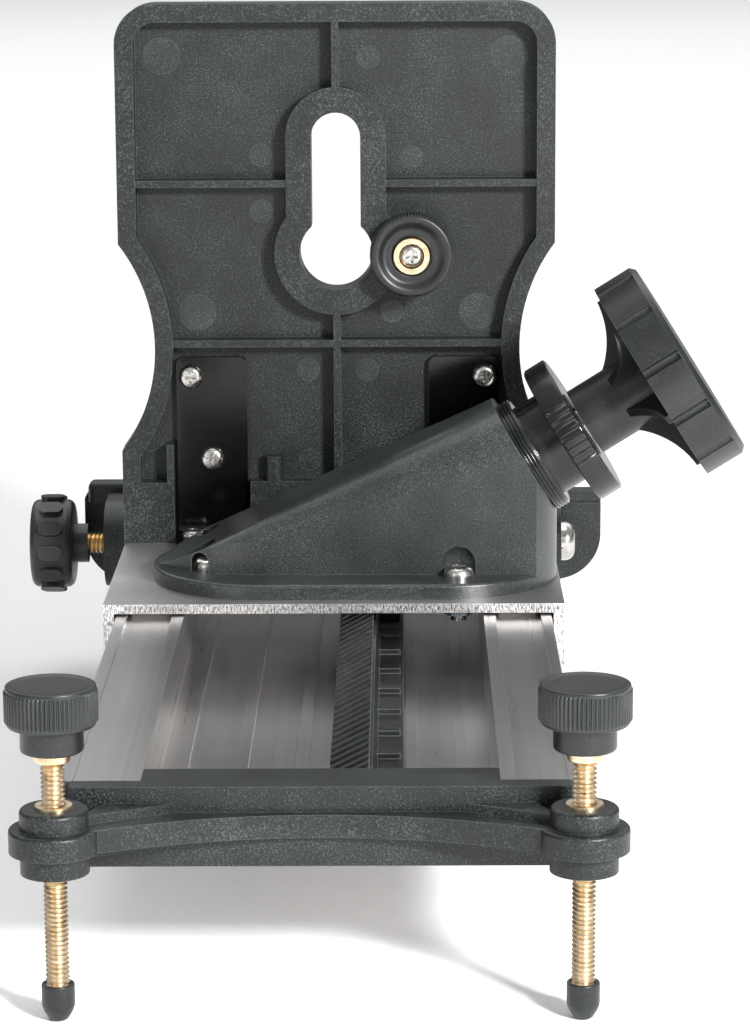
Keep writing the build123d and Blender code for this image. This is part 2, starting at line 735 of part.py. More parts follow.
def housing_wedge(inset):
    """Wedge whose sloping top goes from square-edged at the left to round at the shaft end."""
    half = housing_half_depth - inset

    def section(x, corner):
        top = flange_top + (x - housing_left_x) * tan(radians(housing_rise)) - inset
        low = plate_top - 20.0
        radius = min(corner, half - 0.3)
        left, right = drive_y - half, drive_y + half
        sketch = Polyline((left, low), (left, top - radius)) + Polyline((right, top - radius), (right, low))
        sketch += Polyline((right, low), (left, low))
        sketch += Polyline((left + radius, top), (right - radius, top))
        sketch += RadiusArc((left, top - radius), (left + radius, top), radius)
        sketch += RadiusArc((right - radius, top), (right, top - radius), radius)
        return Plane(origin=(x, 0, 0), x_dir=(0, 1, 0), z_dir=(1, 0, 0)) * make_face(sketch)

    return loft([section(housing_left_x - 4, 1.5), section(housing_right_x + 4, half - 0.3)], ruled=True)


def housing_plan(inset):
    """Plan of the wedge: a long rounded nose at the left, an arc flush with the flange at the right."""
    half = housing_half_depth - inset
    nose = Pos(housing_nose_x, drive_y) * Ellipse(housing_nose_x - housing_left_x - inset, half)
    centre_x = housing_right_x - flange_half_depth
    middle = Pos((housing_nose_x + centre_x) / 2, drive_y) * Rectangle(centre_x - housing_nose_x, 2 * half)
    right = Pos(centre_x, drive_y) * Circle(flange_half_depth - inset)
    right &= Pos(centre_x + flange_half_depth, drive_y) * Rectangle(2 * flange_half_depth, 2 * half)
    return extrude(nose + middle + right, amount=2 * platform_top)


def screw_pocket(x, y, radius):
    """Domed clearance round a flange screw's head."""
    straight = screw_pocket_height - radius * 0.6
    pocket = Cylinder(radius, straight, align=BASE) + Pos(0, 0, straight) * Sphere(radius)
    return Pos(x, y, flange_top) * pocket


def make_housing():
    left_centre = housing_left_x - flange_nose + flange_half_depth
    right_centre = housing_right_x - flange_half_depth
    plan = Pos(left_centre, drive_y) * Circle(flange_half_depth)
    plan += Pos(right_centre, drive_y) * Circle(flange_half_depth)
    plan += Pos((left_centre + right_centre) / 2, drive_y) * Rectangle(
        right_centre - left_centre, 2 * flange_half_depth)
    flange = Pos(0, 0, plate_top) * extrude(plan, amount=flange_thickness)
    flange = fillet(flange.edges().group_by(Axis.Z)[-1], flange_edge)
    everything = 4 * platform_top
    above = Pos(0, 0, plate_top) * Box(everything, everything, everything, align=BASE)
    body = housing_wedge(0) & housing_plan(0) & above
    body -= on_shaft(housing_end) * Box(everything, everything, everything, align=BASE)
    for x, y in housing_screw_places():
        body -= screw_pocket(x, y, screw_pocket_r)
    body += flange
    pocket = housing_wedge(housing_roof) & housing_plan(housing_wall) & above
    pocket -= shaft_ring(bushing_start - 3.0, housing_end, bushing_d / 2 + shaft_wall)
    pocket -= Pos(pocket_left_x, 0, 0) * Box(everything, everything, everything,
                                             align=(Align.MAX, Align.CENTER, Align.CENTER))
    pocket -= Pos(housing_right_x - 10.0, 0, 0) * Box(everything, everything, everything,
                                                      align=(Align.MIN, Align.CENTER, Align.CENTER))
    for x, y in housing_screw_places():
        pocket -= screw_pocket(x, y, screw_pocket_r + housing_wall)
    pocket -= on_shaft(collar_seat - 1.0) * Box(everything, everything, everything, align=BASE)
    body -= pocket
    body -= shaft_ring(-40.0, bushing_start, pitch_radius + tooth_addendum_pinion + pinion_room)
    body -= shaft_ring(bushing_start - 0.1, housing_end + 1, bushing_d / 2)
    body -= shaft_ring(collar_seat, housing_end + 1, collar_spigot_d / 2 + shaft_gap)
    for x, y in housing_screw_places():
        body -= rod((x, y, plate_top), UP, m5 / 2 + hole_gap, flange_thickness)
    return body & above


def make_bushing():
    return shaft_ring(bushing_start, collar_seat, bushing_d / 2, shaft_d / 2 + shaft_gap)


def make_collar():
    """Threaded collar with the smooth sleeve that carries the drag ring."""
    collar = shaft_ring(collar_seat, housing_end, collar_spigot_d / 2)
    ridge_pitch = collar_length / collar_ridges
    for i in range(collar_ridges):
        start = housing_end + i * ridge_pitch
        collar += shaft_ring(start, start + ridge_pitch * 0.6, collar_d / 2)
        collar += shaft_ring(start + ridge_pitch * 0.6, start + ridge_pitch, collar_d / 2 - 0.8)
    collar += shaft_ring(housing_end + collar_length, ring_start + ring_width - ring_lip - 0.3, sleeve_d / 2)
    return collar - shaft_ring(collar_seat - 1.0, ring_start + ring_width, shaft_d / 2 + bore_room)


def housing_bolts():
    shape = None
    length = flange_thickness + plate_thickness + nut_height + bolt_end
    for x, y in housing_screw_places():
        one = seat((x, y, flange_top), UP) * pan_screw(pan_head_m5, m5, length)
        shape = one if shape is None else shape + one
    return shape


def housing_nuts():
    shape = None
    for x, y in housing_screw_places():
        nut = extrude(RegularPolygon(radius=nut_point_radius, side_count=6), amount=nut_height)
        nut -= Cylinder(m5 / 2, 2 * nut_height)
        one = Pos(x, y, plate_bottom - nut_height) * nut
        shape = one if shape is None else shape + one
    return shape


# ---------------------------------------------------------------- drive line
clip_end = pinion_start - slide_gap
clip_start = clip_end - clip_thickness
groove_radius = shaft_d / 2 - 0.8


def shaft_flat():
    """The stock cut away where the shaft keys into the knob."""
    stock = Box(2 * shaft_d, shaft_d, 40, align=(Align.CENTER, Align.MIN, Align.MIN))
    return on_shaft(knob_start - 16.0) * Pos(0, shaft_d / 2 - 1.0, 0) * stock


def make_shaft():
    shaft = shaft_ring(clip_start - 1.2, knob_start + knob_bore_depth, shaft_d / 2)
    groove = shaft_ring(clip_start - shaft_gap, clip_end + shaft_gap, shaft_d / 2 + 1, groove_radius)
    return shaft - groove - shaft_flat()


def make_clip():
    clip = shaft_ring(clip_start, clip_end, shaft_d / 2 + 2.2, groove_radius + shaft_gap)
    gap = on_shaft(clip_start - 1) * Pos(shaft_d / 2, 0, 0) * Box(shaft_d, shaft_d * 0.4, 4, align=BASE)
    return clip - gap


def pinion_profile():
    """Stub involute gear with tooth spaces facing the rack at rest."""
    base_radius = pitch_radius * cos(radians(pressure_angle))
    root = pitch_radius - tooth_addendum_rack - root_clearance
    tip = pitch_radius + tooth_addendum_pinion
    half_angle = (rack_pitch - tooth_backlash) / 4 / pitch_radius

    def involute(radius):
        if radius <= base_radius:
            return 0.0
        roll = sqrt((radius / base_radius) ** 2 - 1)
        return roll - acos_of(base_radius / radius)

    def acos_of(value):
        return radians(90) - asin(value)

    at_pitch = involute(pitch_radius)
    radii = [root, base_radius, pitch_radius, tip]
    points = []
    for k in range(pinion_teeth):
        middle = -pi / 2 + (k + 0.5) * 2 * pi / pinion_teeth
        spread = [half_angle + at_pitch - involute(r) for r in radii]
        for r, a in zip(radii, spread):
            points.append((r * cos(middle - a), r * sin(middle - a)))
        for r, a in zip(radii[::-1], spread[::-1]):
            points.append((r * cos(middle + a), r * sin(middle + a)))
    return make_face(Polyline(*points, close=True))


def make_pinion():
    length = pinion_end - pinion_start
    twist = -degrees(tan(radians(helix_angle)) / pitch_radius)
    frame = on_shaft(pinion_start)
    face = frame * Rot(0, 0, twist * pinion_start) * pinion_profile()
    gear = Solid.extrude_linear_with_rotation(face.faces()[0], frame.origin, along_shaft * length,
                                              twist * length)
    return Part(gear.wrapped) - shaft_ring(pinion_start - 1, pinion_end + 1, shaft_d / 2)


def make_drag_ring():
    ring = Cylinder(ring_d / 2, ring_width, align=BASE)
    ring = fillet(ring.edges().filter_by(GeomType.CIRCLE), ring_edge)
    ring -= Cylinder(sleeve_d / 2 + shaft_gap, ring_width - ring_lip, align=BASE)
    ring -= Cylinder(hub_d / 2 + hub_room, ring_width, align=BASE)
    notch = Box(ring_notch_size, ring_notch_size, ring_width, align=BASE)
    cutter = Pos(ring_d / 2, 0, 0) * Rot(0, 0, 45) * notch
    cuts = []
    for group in range(ring_groups):
        for i in range(ring_group_notches):
            cuts.append(Rot(0, 0, group * 360 / ring_groups + i * ring_notch_angle) * cutter)
    return on_shaft(ring_start) * (ring - Compound(cuts))


def make_drive_knob():
    radius = knob_d / 2
    cup = knob_width - knob_web
    disc = Cylinder(radius, knob_width, align=BASE)
    disc = chamfer(disc.edges().group_by(Axis.Z)[-1], knob_edge)
    flute = Pos(radius + knob_flute_width / 2 - knob_flute_depth, 0, 0) * Cylinder(
        knob_flute_width / 2, knob_width - knob_land, align=BASE)
    disc -= Compound([Rot(0, 0, 360 * (i + 0.5) / knob_lobes) * flute for i in range(knob_lobes)])
    disc -= Cylinder(radius - knob_rim, cup, align=BASE)
    body = on_shaft(knob_start) * disc
    body += shaft_ring(hub_start, knob_start + cup, hub_d / 2)
    for i in range(knob_fins):
        body += on_shaft(hub_start) * Rot(0, 0, 360 * (i + 0.25) / knob_fins) * knob_fin()
    bore = shaft_ring(hub_start - 1, knob_start + knob_bore_depth + seat_gap, shaft_d / 2 + shaft_gap / 2)
    return body - (bore - shaft_flat())


def knob_fin():
    """Thin web flaring from the hub out to the rim, its edge a concave arc."""
    cup = knob_width - knob_web
    web = knob_start + cup - hub_start
    hub_side = hub_d / 2 - 2
    rim_side = knob_d / 2 - knob_rim + 1
    rim_reach = web - cup - 1.5
    hub_reach = web - cup - 14.0
    edge = ThreePointArc((rim_side, rim_reach), (hub_d / 2 + 5.5, web - cup - 6.5), (hub_side, hub_reach))
    outline = Polyline((hub_side, web), (rim_side, web), (rim_side, rim_reach))
    close = Line((hub_side, hub_reach), (hub_side, web))
    return extrude(Plane.XZ * make_face(outline + edge + close), amount=knob_fin_thickness / 2, both=True)


# ---------------------------------------------------------------- platform
def platform_outline(inset):
    """Half outline of the plate: straight lower block, waist arc, upper block, round corner."""
    half = platform_width / 2
    reach = sqrt(waist_radius ** 2 - (waist_half_width + waist_radius - half) ** 2)
    z_low = plate_top + waist_z - reach
    z_high = plate_top + waist_z + reach
    z_mid = plate_top + waist_z
    top = platform_top
    corner = platform_corner
    path = Polyline((0, plate_top), (half, plate_top), (half, z_low))
    path += ThreePointArc((half, z_low), (waist_half_width, z_mid), (half, z_high))
    path += Line((half, z_high), (half, top - corner))
    path += RadiusArc((half, top - corner), (half - corner, top), -corner)
    path += Polyline((half - corner, top), (0, top), (0, plate_top))
    face = make_face(path)
    whole = face + mirror(face, Plane.YZ)
    return offset(whole, amount=-inset) if inset > 0 else whole


def keyhole(grow):
    """Keyhole outline, grown outwards by an amount."""
    z_round = plate_top + keyhole_round_z
    slot = Pos(0, z_round + keyhole_rise) * Circle(keyhole_slot / 2 + grow)
    slot += Pos(0, z_round + keyhole_rise / 2) * Rectangle(keyhole_slot + 2 * grow, keyhole_rise)
    return slot + Pos(0, z_round) * Circle(keyhole_round / 2 + grow)


def face_prism(sketch, y_from, y_to):
    """Sketch in the plate's plane, made solid between two places along the rail."""
    return Pos(0, y_to, 0) * extrude(Plane.XZ * sketch, amount=y_to - y_from)


ledge_z = 21.0
ledge_low_z = 15.0
rib_set_back = 0.6            # rib tops behind the rim's face
upper_rib_z = 123.0
lower_rib_z = 68.8
keyhole_wall = 8.5
peg_x = -21.9
peg_d = 6.4
peg_height = 8.6
stub_height = 34.0            # upright ribs beside the brackets
stub_thickness = 2.4
bracket_slack = 1.0           # recess round each bracket
plate_screw_bite = 3.4
bracket_screw_places = [(bracket_inner_x + bracket_width - 5.0, bracket_height - 6.6),
                        (bracket_inner_x + bracket_width / 2, bracket_height - 34.9)]
small_knob_x = 25.3
small_knob_z = 99.8
small_knob_d = 28.0
small_knob_width = 10.8
small_bush_d = 12.0
small_post_d = 16.0
small_screw_bite = 3.2
small_counterbore = 3.2
small_counterbore_d = 8.4
small_head_d = 8.2
small_knob_grooves = 72
small_knob_knurl = 0.4
small_knob_gap = 0.3          # knob to the plate's rim face


def make_platform():
    plate = face_prism(platform_outline(0), platform_front_y, platform_rear_y)
    plate -= face_prism(platform_outline(platform_rim), platform_front_y, web_front_y)
    rib_front = platform_front_y + rib_set_back
    inner_top = platform_top - platform_rim + 1
    plate += block(-rib_width / 2, rib_width / 2, rib_front, web_front_y, plate_top, inner_top)
    for z, half in ((upper_rib_z, platform_width / 2 - 3), (lower_rib_z, waist_half_width - 2)):
        z_rib = plate_top + z
        plate += block(-half, half, rib_front, web_front_y, z_rib - rib_width / 2, z_rib + rib_width / 2)
    plate += face_prism(keyhole(keyhole_wall) - keyhole(0), platform_front_y, web_front_y)
    post = Plane(origin=(small_knob_x, web_front_y, plate_top + small_knob_z), z_dir=FRONT)
    post_depth = web_front_y - platform_front_y
    plate += post * Cylinder(small_post_d / 2, post_depth, align=BASE)
    recess_in = bracket_inner_x - bracket_slack
    recess_out = bracket_inner_x + bracket_width + bracket_slack
    step_y = platform_front_y + 2
    plate += block(-recess_in, recess_in, step_y, web_front_y, plate_top, plate_top + ledge_z)
    plate += block(-recess_in, recess_in, platform_front_y, step_y, plate_top, plate_top + ledge_low_z)
    plate += both_sides(block(recess_out, platform_width / 2, platform_front_y, web_front_y,
                              plate_top, plate_top + ledge_z))
    plate += Pos(peg_x, web_front_y - peg_d / 2, plate_top + ledge_z - 1) * Cylinder(
        peg_d / 2, peg_height + 1, align=BASE)
    plate -= both_sides(block(recess_in, recess_out, platform_front_y - 1, web_front_y,
                              plate_top - 1, plate_top + bracket_height + bracket_slack))
    plate += both_sides(block(recess_out, recess_out + stub_thickness, rib_front, web_front_y,
                              plate_top, plate_top + stub_height))
    plate -= face_prism(keyhole(0), platform_front_y - 1, platform_rear_y + 1)
    for x, z in bracket_screw_places:
        hole = Plane(origin=(x, web_front_y, plate_top + z), z_dir=(0, 1, 0))
        plate -= both_sides(hole * Cylinder(m4 / 2, plate_screw_bite + 0.2, align=BASE))
    return plate - post * Pos(0, 0, -small_screw_bite) * Cylinder(
        m5 / 2, post_depth + small_screw_bite, align=BASE)


def make_bracket(side):
    x0, x1 = bracket_inner_x, bracket_inner_x + bracket_width
    y0 = web_front_y - bracket_thickness
    flange = block(x0, x1, y0, web_front_y, plate_top, plate_top + bracket_height)
    flange = fillet(flange.edges().filter_by(Axis.Y).group_by(Axis.Z)[-1], bracket_corner)
    foot = block(x0, x1, web_front_y - bracket_foot, web_front_y, plate_top, plate_top + bracket_thickness)
    bracket = flange + foot
    bend = ((x0 + x1) / 2, y0, plate_top + bracket_thickness)
    bracket = fillet(bracket.edges().filter_by(Axis.X).sort_by_distance(bend)[0], bracket_bend)
    for x, z in bracket_screw_places:
        frame = Plane(origin=(x, web_front_y, plate_top + z), z_dir=FRONT)
        bracket -= frame * Cylinder(m4 / 2 + hole_gap, bracket_thickness, align=BASE)
    for x, y in bracket_foot_places():
        if x > 0:
            bracket -= rod((x, y, plate_top), UP, m4 / 2 + hole_gap, bracket_thickness)
    return bracket if side > 0 else mirror(bracket, Plane.YZ)


def platform_screws():
    shape = None
    for side in (-1, 1):
        for x, z in bracket_screw_places:
            point = (side * x, web_front_y - bracket_thickness, plate_top + z)
            one = seat(point, FRONT) * pan_screw(pan_head_m4, m4, bracket_thickness + plate_screw_bite)
            shape = one if shape is None else shape + one
    return shape


def bracket_foot_screws():
    shape = None
    for x, y in bracket_foot_places():
        point = (x, y, plate_top + bracket_thickness)
        one = seat(point, UP) * pan_screw(pan_head_m4 - 0.6, m4, bracket_thickness + plate_thickness - 0.2)
        shape = one if shape is None else shape + one
    return shape


def small_knob_frame(forward):
    point = (small_knob_x, platform_front_y - small_knob_gap - forward, plate_top + small_knob_z)
    return Plane(origin=point, z_dir=FRONT)


def make_small_knob():
    knob = knurled_disc(small_knob_d / 2, small_knob_width, small_knob_grooves, small_knob_knurl)
    knob -= Cylinder(small_bush_d / 2, small_knob_width, align=BASE)
    return small_knob_frame(0) * knob


def make_small_bush():
    bush = Cylinder(small_bush_d / 2, small_knob_width, align=BASE)
    bush -= Cylinder(m5 / 2 + shaft_gap, small_knob_width, align=BASE)
    bush -= Pos(0, 0, small_knob_width - small_counterbore) * Cylinder(
        small_counterbore_d / 2, small_counterbore, align=BASE)
    return small_knob_frame(0) * bush


def make_small_screw():
    seat_depth = small_knob_width - small_counterbore + seat_gap
    length = seat_depth + web_front_y - platform_front_y + small_screw_bite - 0.3
    return small_knob_frame(seat_depth) * pan_screw(small_head_d, m5, length)


# ---------------------------------------------------------------- write every sub-part
front_places = [p for p in cap_screw_places() if p[1] < rail_front + cap_plug]
rear_places = [p for p in cap_screw_places() if p[1] > rail_rear - cap_plug]

parts = {
    "rail_extrusion": make_rail(),
    "gear_rack": make_rack(),
    "rack_screws": floor_screws(rack_screw_places(), floor_thickness + rack_screw_grip),
    "front_end_cap": make_front_cap(),
    "front_cap_screws": floor_screws(front_places, floor_thickness + cap_screw_grip),
    "foot_thread_inserts": make_foot_inserts(),
    "rear_end_cap": make_rear_cap(),
    "rear_cap_screws": floor_screws(rear_places, floor_thickness + cap_screw_grip),
    "pivot_inserts": make_pivot_inserts(),
    "pivot_screw": make_pivot_screw(),
    "hanger_plate": make_hanger(),
    "wall_pad": make_wall_pad(),
    "lock_knob": make_lock_knob(),
    "lock_screw": make_lock_screw(),
    "lock_pad": make_lock_pad(),
    "carriage_channel": make_carriage(),
    "glide_strips": make_glide_strips(),
    "drive_housing": make_housing(),
    "housing_screws": housing_bolts(),
    "housing_nuts": housing_nuts(),
    "shaft_bushing": make_bushing(),
    "threaded_collar": make_collar(),
    "drive_shaft": make_shaft(),
    "drive_pinion": make_pinion(),
    "pinion_clip": make_clip(),
    "drag_ring": make_drag_ring(),
    "drive_knob": make_drive_knob(),
    "platform_plate": make_platform(),
    "left_angle_bracket": make_bracket(-1),
    "right_angle_bracket": make_bracket(1),
    "platform_screws": platform_screws(),
    "bracket_foot_screws": bracket_foot_screws(),
    "platform_knob": make_small_knob(),
    "platform_knob_bush": make_small_bush(),
    "platform_knob_screw": make_small_screw(),
}
for name, side in (("left", -1), ("right", 1)):
    parts[f"{name}_foot_tip"] = make_foot_tip(side)
    parts[f"{name}_foot_screw"] = make_foot_screw(side)
    parts[f"{name}_foot_knob"] = make_foot_knob(side)

for node, shape in parts.items():
    save(node, shape)
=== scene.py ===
import json
import math
import bmesh
import bpy
from mathutils import Matrix, Vector


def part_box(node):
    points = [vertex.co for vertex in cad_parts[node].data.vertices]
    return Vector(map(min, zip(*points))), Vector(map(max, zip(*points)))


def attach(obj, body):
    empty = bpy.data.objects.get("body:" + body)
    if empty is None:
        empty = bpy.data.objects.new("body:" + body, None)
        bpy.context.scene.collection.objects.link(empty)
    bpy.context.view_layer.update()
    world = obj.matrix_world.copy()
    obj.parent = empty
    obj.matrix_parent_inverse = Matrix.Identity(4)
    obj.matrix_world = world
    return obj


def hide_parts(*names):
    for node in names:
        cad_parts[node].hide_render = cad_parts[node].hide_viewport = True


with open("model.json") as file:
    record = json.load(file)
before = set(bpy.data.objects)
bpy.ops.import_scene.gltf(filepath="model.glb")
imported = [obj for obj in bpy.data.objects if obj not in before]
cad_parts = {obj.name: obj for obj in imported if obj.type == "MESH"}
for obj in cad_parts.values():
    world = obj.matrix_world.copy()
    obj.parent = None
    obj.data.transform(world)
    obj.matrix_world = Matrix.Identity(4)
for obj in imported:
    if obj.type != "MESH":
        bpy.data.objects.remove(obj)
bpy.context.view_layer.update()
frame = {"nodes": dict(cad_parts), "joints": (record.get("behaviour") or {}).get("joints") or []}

mm = 0.001
joints = {joint["name"]: joint for joint in frame["joints"]}
print("frame loaded:", len(frame["nodes"]), "nodes")


def hexColour(code):
    # sRGB hex to linear RGBA
    channels = [int(code[i:i + 2], 16) / 255 for i in (1, 3, 5)]
    linear = [c / 12.92 if c <= 0.04045 else ((c + 0.055) / 1.055) ** 2.4 for c in channels]
    return (*linear, 1.0)


def addNode(tree, kind, inputs=None, **settings):
    # one node with its settings; an input is a value or another node's socket
    node = tree.nodes.new(kind)
    for name, value in settings.items():
        setattr(node, name, value)
    for key, value in (inputs or {}).items():
        socket = node.inputs[key]
        if isinstance(value, bpy.types.NodeSocket):
            tree.links.new(value, socket)
        else:
            socket.default_value = value
    return node


def maths(tree, operation, first, second=None):
    # a sum worked out inside a tree
    inputs = {0: first} if second is None else {0: first, 1: second}
    return addNode(tree, "ShaderNodeMath", inputs, operation=operation).outputs[0]


# ---- materials

def newMaterial(name):
    material = bpy.data.materials.new(name)
    material.use_nodes = True
    tree = material.node_tree
    tree.nodes.clear()
    shader = addNode(tree, "ShaderNodeBsdfPrincipled")
    addNode(tree, "ShaderNodeOutputMaterial", {"Surface": shader.outputs["BSDF"]})
    return material, tree, shader


def placePattern(tree, scale):
    # object coordinates, stretched so that one unit is one repeat
    coords = addNode(tree, "ShaderNodeTexCoord")
    mapping = addNode(tree, "ShaderNodeMapping", {"Vector": coords.outputs["Object"], "Scale": scale})
    return mapping.outputs["Vector"]


def ramp(tree, factor, stops):
    node = addNode(tree, "ShaderNodeValToRGB", {"Fac": factor})
    band = node.color_ramp
    while len(band.elements) < len(stops):
        band.elements.new(0.5)
    for element, (place, colour) in zip(band.elements, stops):
        element.position = place
        element.color = hexColour(colour) if isinstance(colour, str) else (colour, colour, colour, 1)
    return node.outputs["Color"]


def noise(tree, vector, scale=1.0, detail=3.0, roughness=0.55):
    node = addNode(tree, "ShaderNodeTexNoise",
                   {"Vector": vector, "Scale": scale, "Detail": detail, "Roughness": roughness})
    return node.outputs["Fac"]


def bumpFrom(tree, shader, height, distance, strength=1.0):
    bump = addNode(tree, "ShaderNodeBump", {"Height": height, "Distance": distance, "Strength": strength})
    tree.links.new(bump.outputs["Normal"], shader.inputs["Normal"])


def paintedEdgeHighlight(tree, colour, highlightHex, width, amount):
    # painted highlight: a paler colour mixed in where an edge is rounded, standing in for the light that
    # edges catch
    bevel = addNode(tree, "ShaderNodeBevel", {"Radius": width}, samples=4)
    geometry = addNode(tree, "ShaderNodeNewGeometry")
    dot = addNode(tree, "ShaderNodeVectorMath",
                  {0: bevel.outputs["Normal"], 1: geometry.outputs["Normal"]}, operation="DOT_PRODUCT")
    mask = addNode(tree, "ShaderNodeMapRange",
                   {"Value": dot.outputs["Value"], "From Min": 0.985, "From Max": 0.85, "To Max": amount})
    mix = addNode(tree, "ShaderNodeMix", {0: mask.outputs["Result"]}, data_type="RGBA")
    tree.links.new(colour, mix.inputs[6])
    mix.inputs[7].default_value = hexColour(highlightHex)
    return mix.outputs[2]


def mouldedPlastic(name, look):
    # injection-moulded plastic: grain from the tool's spark-eroded face, flecks where fibre shows
    material, tree, shader = newMaterial(name)
    fine = placePattern(tree, (1 / (look["fleckMm"] * mm),) * 3)
    broad = placePattern(tree, (1 / (look["cloudMm"] * mm),) * 3)
    fleck = noise(tree, fine, 1.0, 2.0, 0.6)
    cloud = noise(tree, broad, 1.0, 3.0, 0.5)
    mixed = addNode(tree, "ShaderNodeMix", {0: look["cloudShare"], 2: fleck, 3: cloud}, data_type="FLOAT")
    colour = ramp(tree, mixed.outputs[0], [(0.38, look["dark"]), (0.53, look["base"]), (0.68, look["fleck"])])
    # painted edge highlight: the look's edge colour laid on rounded edges
    if look.get("edgeHighlight"):
        colour = paintedEdgeHighlight(tree, colour, look["edgeHighlight"], 0.5 * mm, 0.6)
    tree.links.new(colour, shader.inputs["Base Color"])
    rough = addNode(tree, "ShaderNodeMapRange", {
        "Value": mixed.outputs[0], "From Min": 0.3, "From Max": 0.7,
        "To Min": look["rough"] - 0.05, "To Max": look["rough"] + 0.07})
    tree.links.new(rough.outputs["Result"], shader.inputs["Roughness"])
    grain = noise(tree, placePattern(tree, (1 / (look["grainMm"] * mm),) * 3), 1.0, 2.0)
    bumpFrom(tree, shader, grain, look["grainDepth"] * mm, 0.6)
    shader.inputs["IOR"].default_value = 1.53
    shader.inputs["Specular IOR Level"].default_value = look.get("shine", 0.5)
    return material


# the edge colour given with each plastic below is a painted highlight on its rounded edges
filledNylon = mouldedPlastic("glassFilledNylon", {
    "fleckMm": 0.55, "cloudMm": 16, "cloudShare": 0.2, "dark": "#101212", "base": "#1a1d1d",
    "fleck": "#454b4b", "rough": 0.42, "grainMm": 0.6, "grainDepth": 0.085, "edgeHighlight": "#4b5050", "shine": 0.4})
# painted light: the plate's filled nylon with a lighter base colour, standing in for the brighter lit front
# of the housing; its lower roughness gives a satin sheen
paintedLitHousingNylon = mouldedPlastic("housingNylonPaintedLighter", {
    "fleckMm": 0.55, "cloudMm": 18, "cloudShare": 0.25, "dark": "#202222", "base": "#2b2e2e",
    "fleck": "#4c5050", "rough": 0.31, "grainMm": 0.7, "grainDepth": 0.04, "edgeHighlight": "#565b5b"})
pinMark = mouldedPlastic("burnishedPinMark", {
    "fleckMm": 0.55, "cloudMm": 12, "cloudShare": 0.25, "dark": "#161919", "base": "#232626",
    "fleck": "#484e4e", "rough": 0.36, "grainMm": 0.6, "grainDepth": 0.04, "edgeHighlight": "#4b5050"})
knobNylon = mouldedPlastic("mattNylonKnob", {
    "fleckMm": 0.5, "cloudMm": 10, "cloudShare": 0.25, "dark": "#101212", "base": "#181a1a",
    "fleck": "#2f3232", "rough": 0.36, "grainMm": 0.4, "grainDepth": 0.03, "edgeHighlight": "#4a4e4e"})
glossNylon = mouldedPlastic("smoothBlackNylon", {
    "fleckMm": 0.8, "cloudMm": 9, "cloudShare": 0.6, "dark": "#0b0c0c", "base": "#121414",
    "fleck": "#1c1e1e", "rough": 0.22, "grainMm": 0.9, "grainDepth": 0.006, "edgeHighlight": "#303434"})
acetalBlack = mouldedPlastic("blackAcetalRack", {
    "fleckMm": 0.8, "cloudMm": 12, "cloudShare": 0.5, "dark": "#141516", "base": "#202223",
    "fleck": "#2f3234", "rough": 0.34, "grainMm": 0.7, "grainDepth": 0.01, "edgeHighlight": "#7a7e7f"})
acetalWhite = mouldedPlastic("naturalAcetal", {
    "fleckMm": 1.0, "cloudMm": 9, "cloudShare": 0.5, "dark": "#c9c6bb", "base": "#d8d5ca",
    "fleck": "#e2dfd6", "rough": 0.38, "grainMm": 0.8, "grainDepth": 0.01})
softVinyl = mouldedPlastic("dippedVinyl", {
    "fleckMm": 0.7, "cloudMm": 5, "cloudShare": 0.5, "dark": "#181a1a", "base": "#222525",
    "fleck": "#2f3232", "rough": 0.4, "grainMm": 0.5, "grainDepth": 0.01, "shine": 0.45})
sheetRubber = mouldedPlastic("sheetRubber", {
    "fleckMm": 0.6, "cloudMm": 6, "cloudShare": 0.4, "dark": "#121313", "base": "#1a1c1c",
    "fleck": "#242727", "rough": 0.75, "grainMm": 0.4, "grainDepth": 0.03, "shine": 0.3})


def sawnEnds(tree, colour, marksMm):
    # faces square to the rail show the saw's upright scratches, bright on dark
    coords = addNode(tree, "ShaderNodeTexCoord")
    facing = addNode(tree, "ShaderNodeSeparateXYZ", {0: coords.outputs["Normal"]})
    square = maths(tree, "ABSOLUTE", facing.outputs["Y"])
    mask = addNode(tree, "ShaderNodeMapRange", {"Value": square, "From Min": 0.8, "From Max": 0.95})
    marks = noise(tree, placePattern(tree, tuple(1 / (size * mm) for size in marksMm)), 1.0, 2.0, 0.7)
    sawn = ramp(tree, marks, [(0.36, "#6a6867"), (0.5, "#d8d6d4"), (0.62, "#ffffff")])
    mix = addNode(tree, "ShaderNodeMix", {0: mask.outputs["Result"]}, data_type="RGBA")
    tree.links.new(colour, mix.inputs[6])
    tree.links.new(sawn, mix.inputs[7])
    return mix.outputs[2]


def plainMetal(name, look):
    # metal with a drawn, rolled or turned lay: streaks much longer along the lay than across it
    material, tree, shader = newMaterial(name)
    lay = placePattern(tree, tuple(1 / (size * mm) for size in look["layMm"]))
    cloud = placePattern(tree, (1 / (look["cloudMm"] * mm),) * 3)
    streak = noise(tree, lay, 1.0, 3.0, 0.6)
    stain = noise(tree, cloud, 1.0, 4.0, 0.6)
    mixed = addNode(tree, "ShaderNodeMix", {0: look["cloudShare"], 2: streak, 3: stain}, data_type="FLOAT")
    colour = ramp(tree, mixed.outputs[0], [(0.3, look["dark"]), (0.52, look["base"]), (0.72, look["light"])])
    if look.get("sawMarks"):
        colour = sawnEnds(tree, colour, look["sawMarks"])
    # painted highlight: look["edge"] is a colour laid on rounded edges to stand in for the light they catch
    if look.get("edge"):
        colour = paintedEdgeHighlight(tree, colour, look["edge"], 0.35 * mm, 0.9)
    tree.links.new(colour, shader.inputs["Base Color"])
    spread = look.get("roughSpread", 0.16)
    rough = addNode(tree, "ShaderNodeMapRange", {
        "Value": mixed.outputs[0], "From Min": 0.3, "From Max": 0.7,
        "To Min": look["rough"] - 0.4 * spread, "To Max": look["rough"] + 0.6 * spread})
    tree.links.new(rough.outputs["Result"], shader.inputs["Roughness"])
    bumpFrom(tree, shader, streak, look["layDepth"] * mm, 0.5)
    shader.inputs["Metallic"].default_value = 1.0
    return material
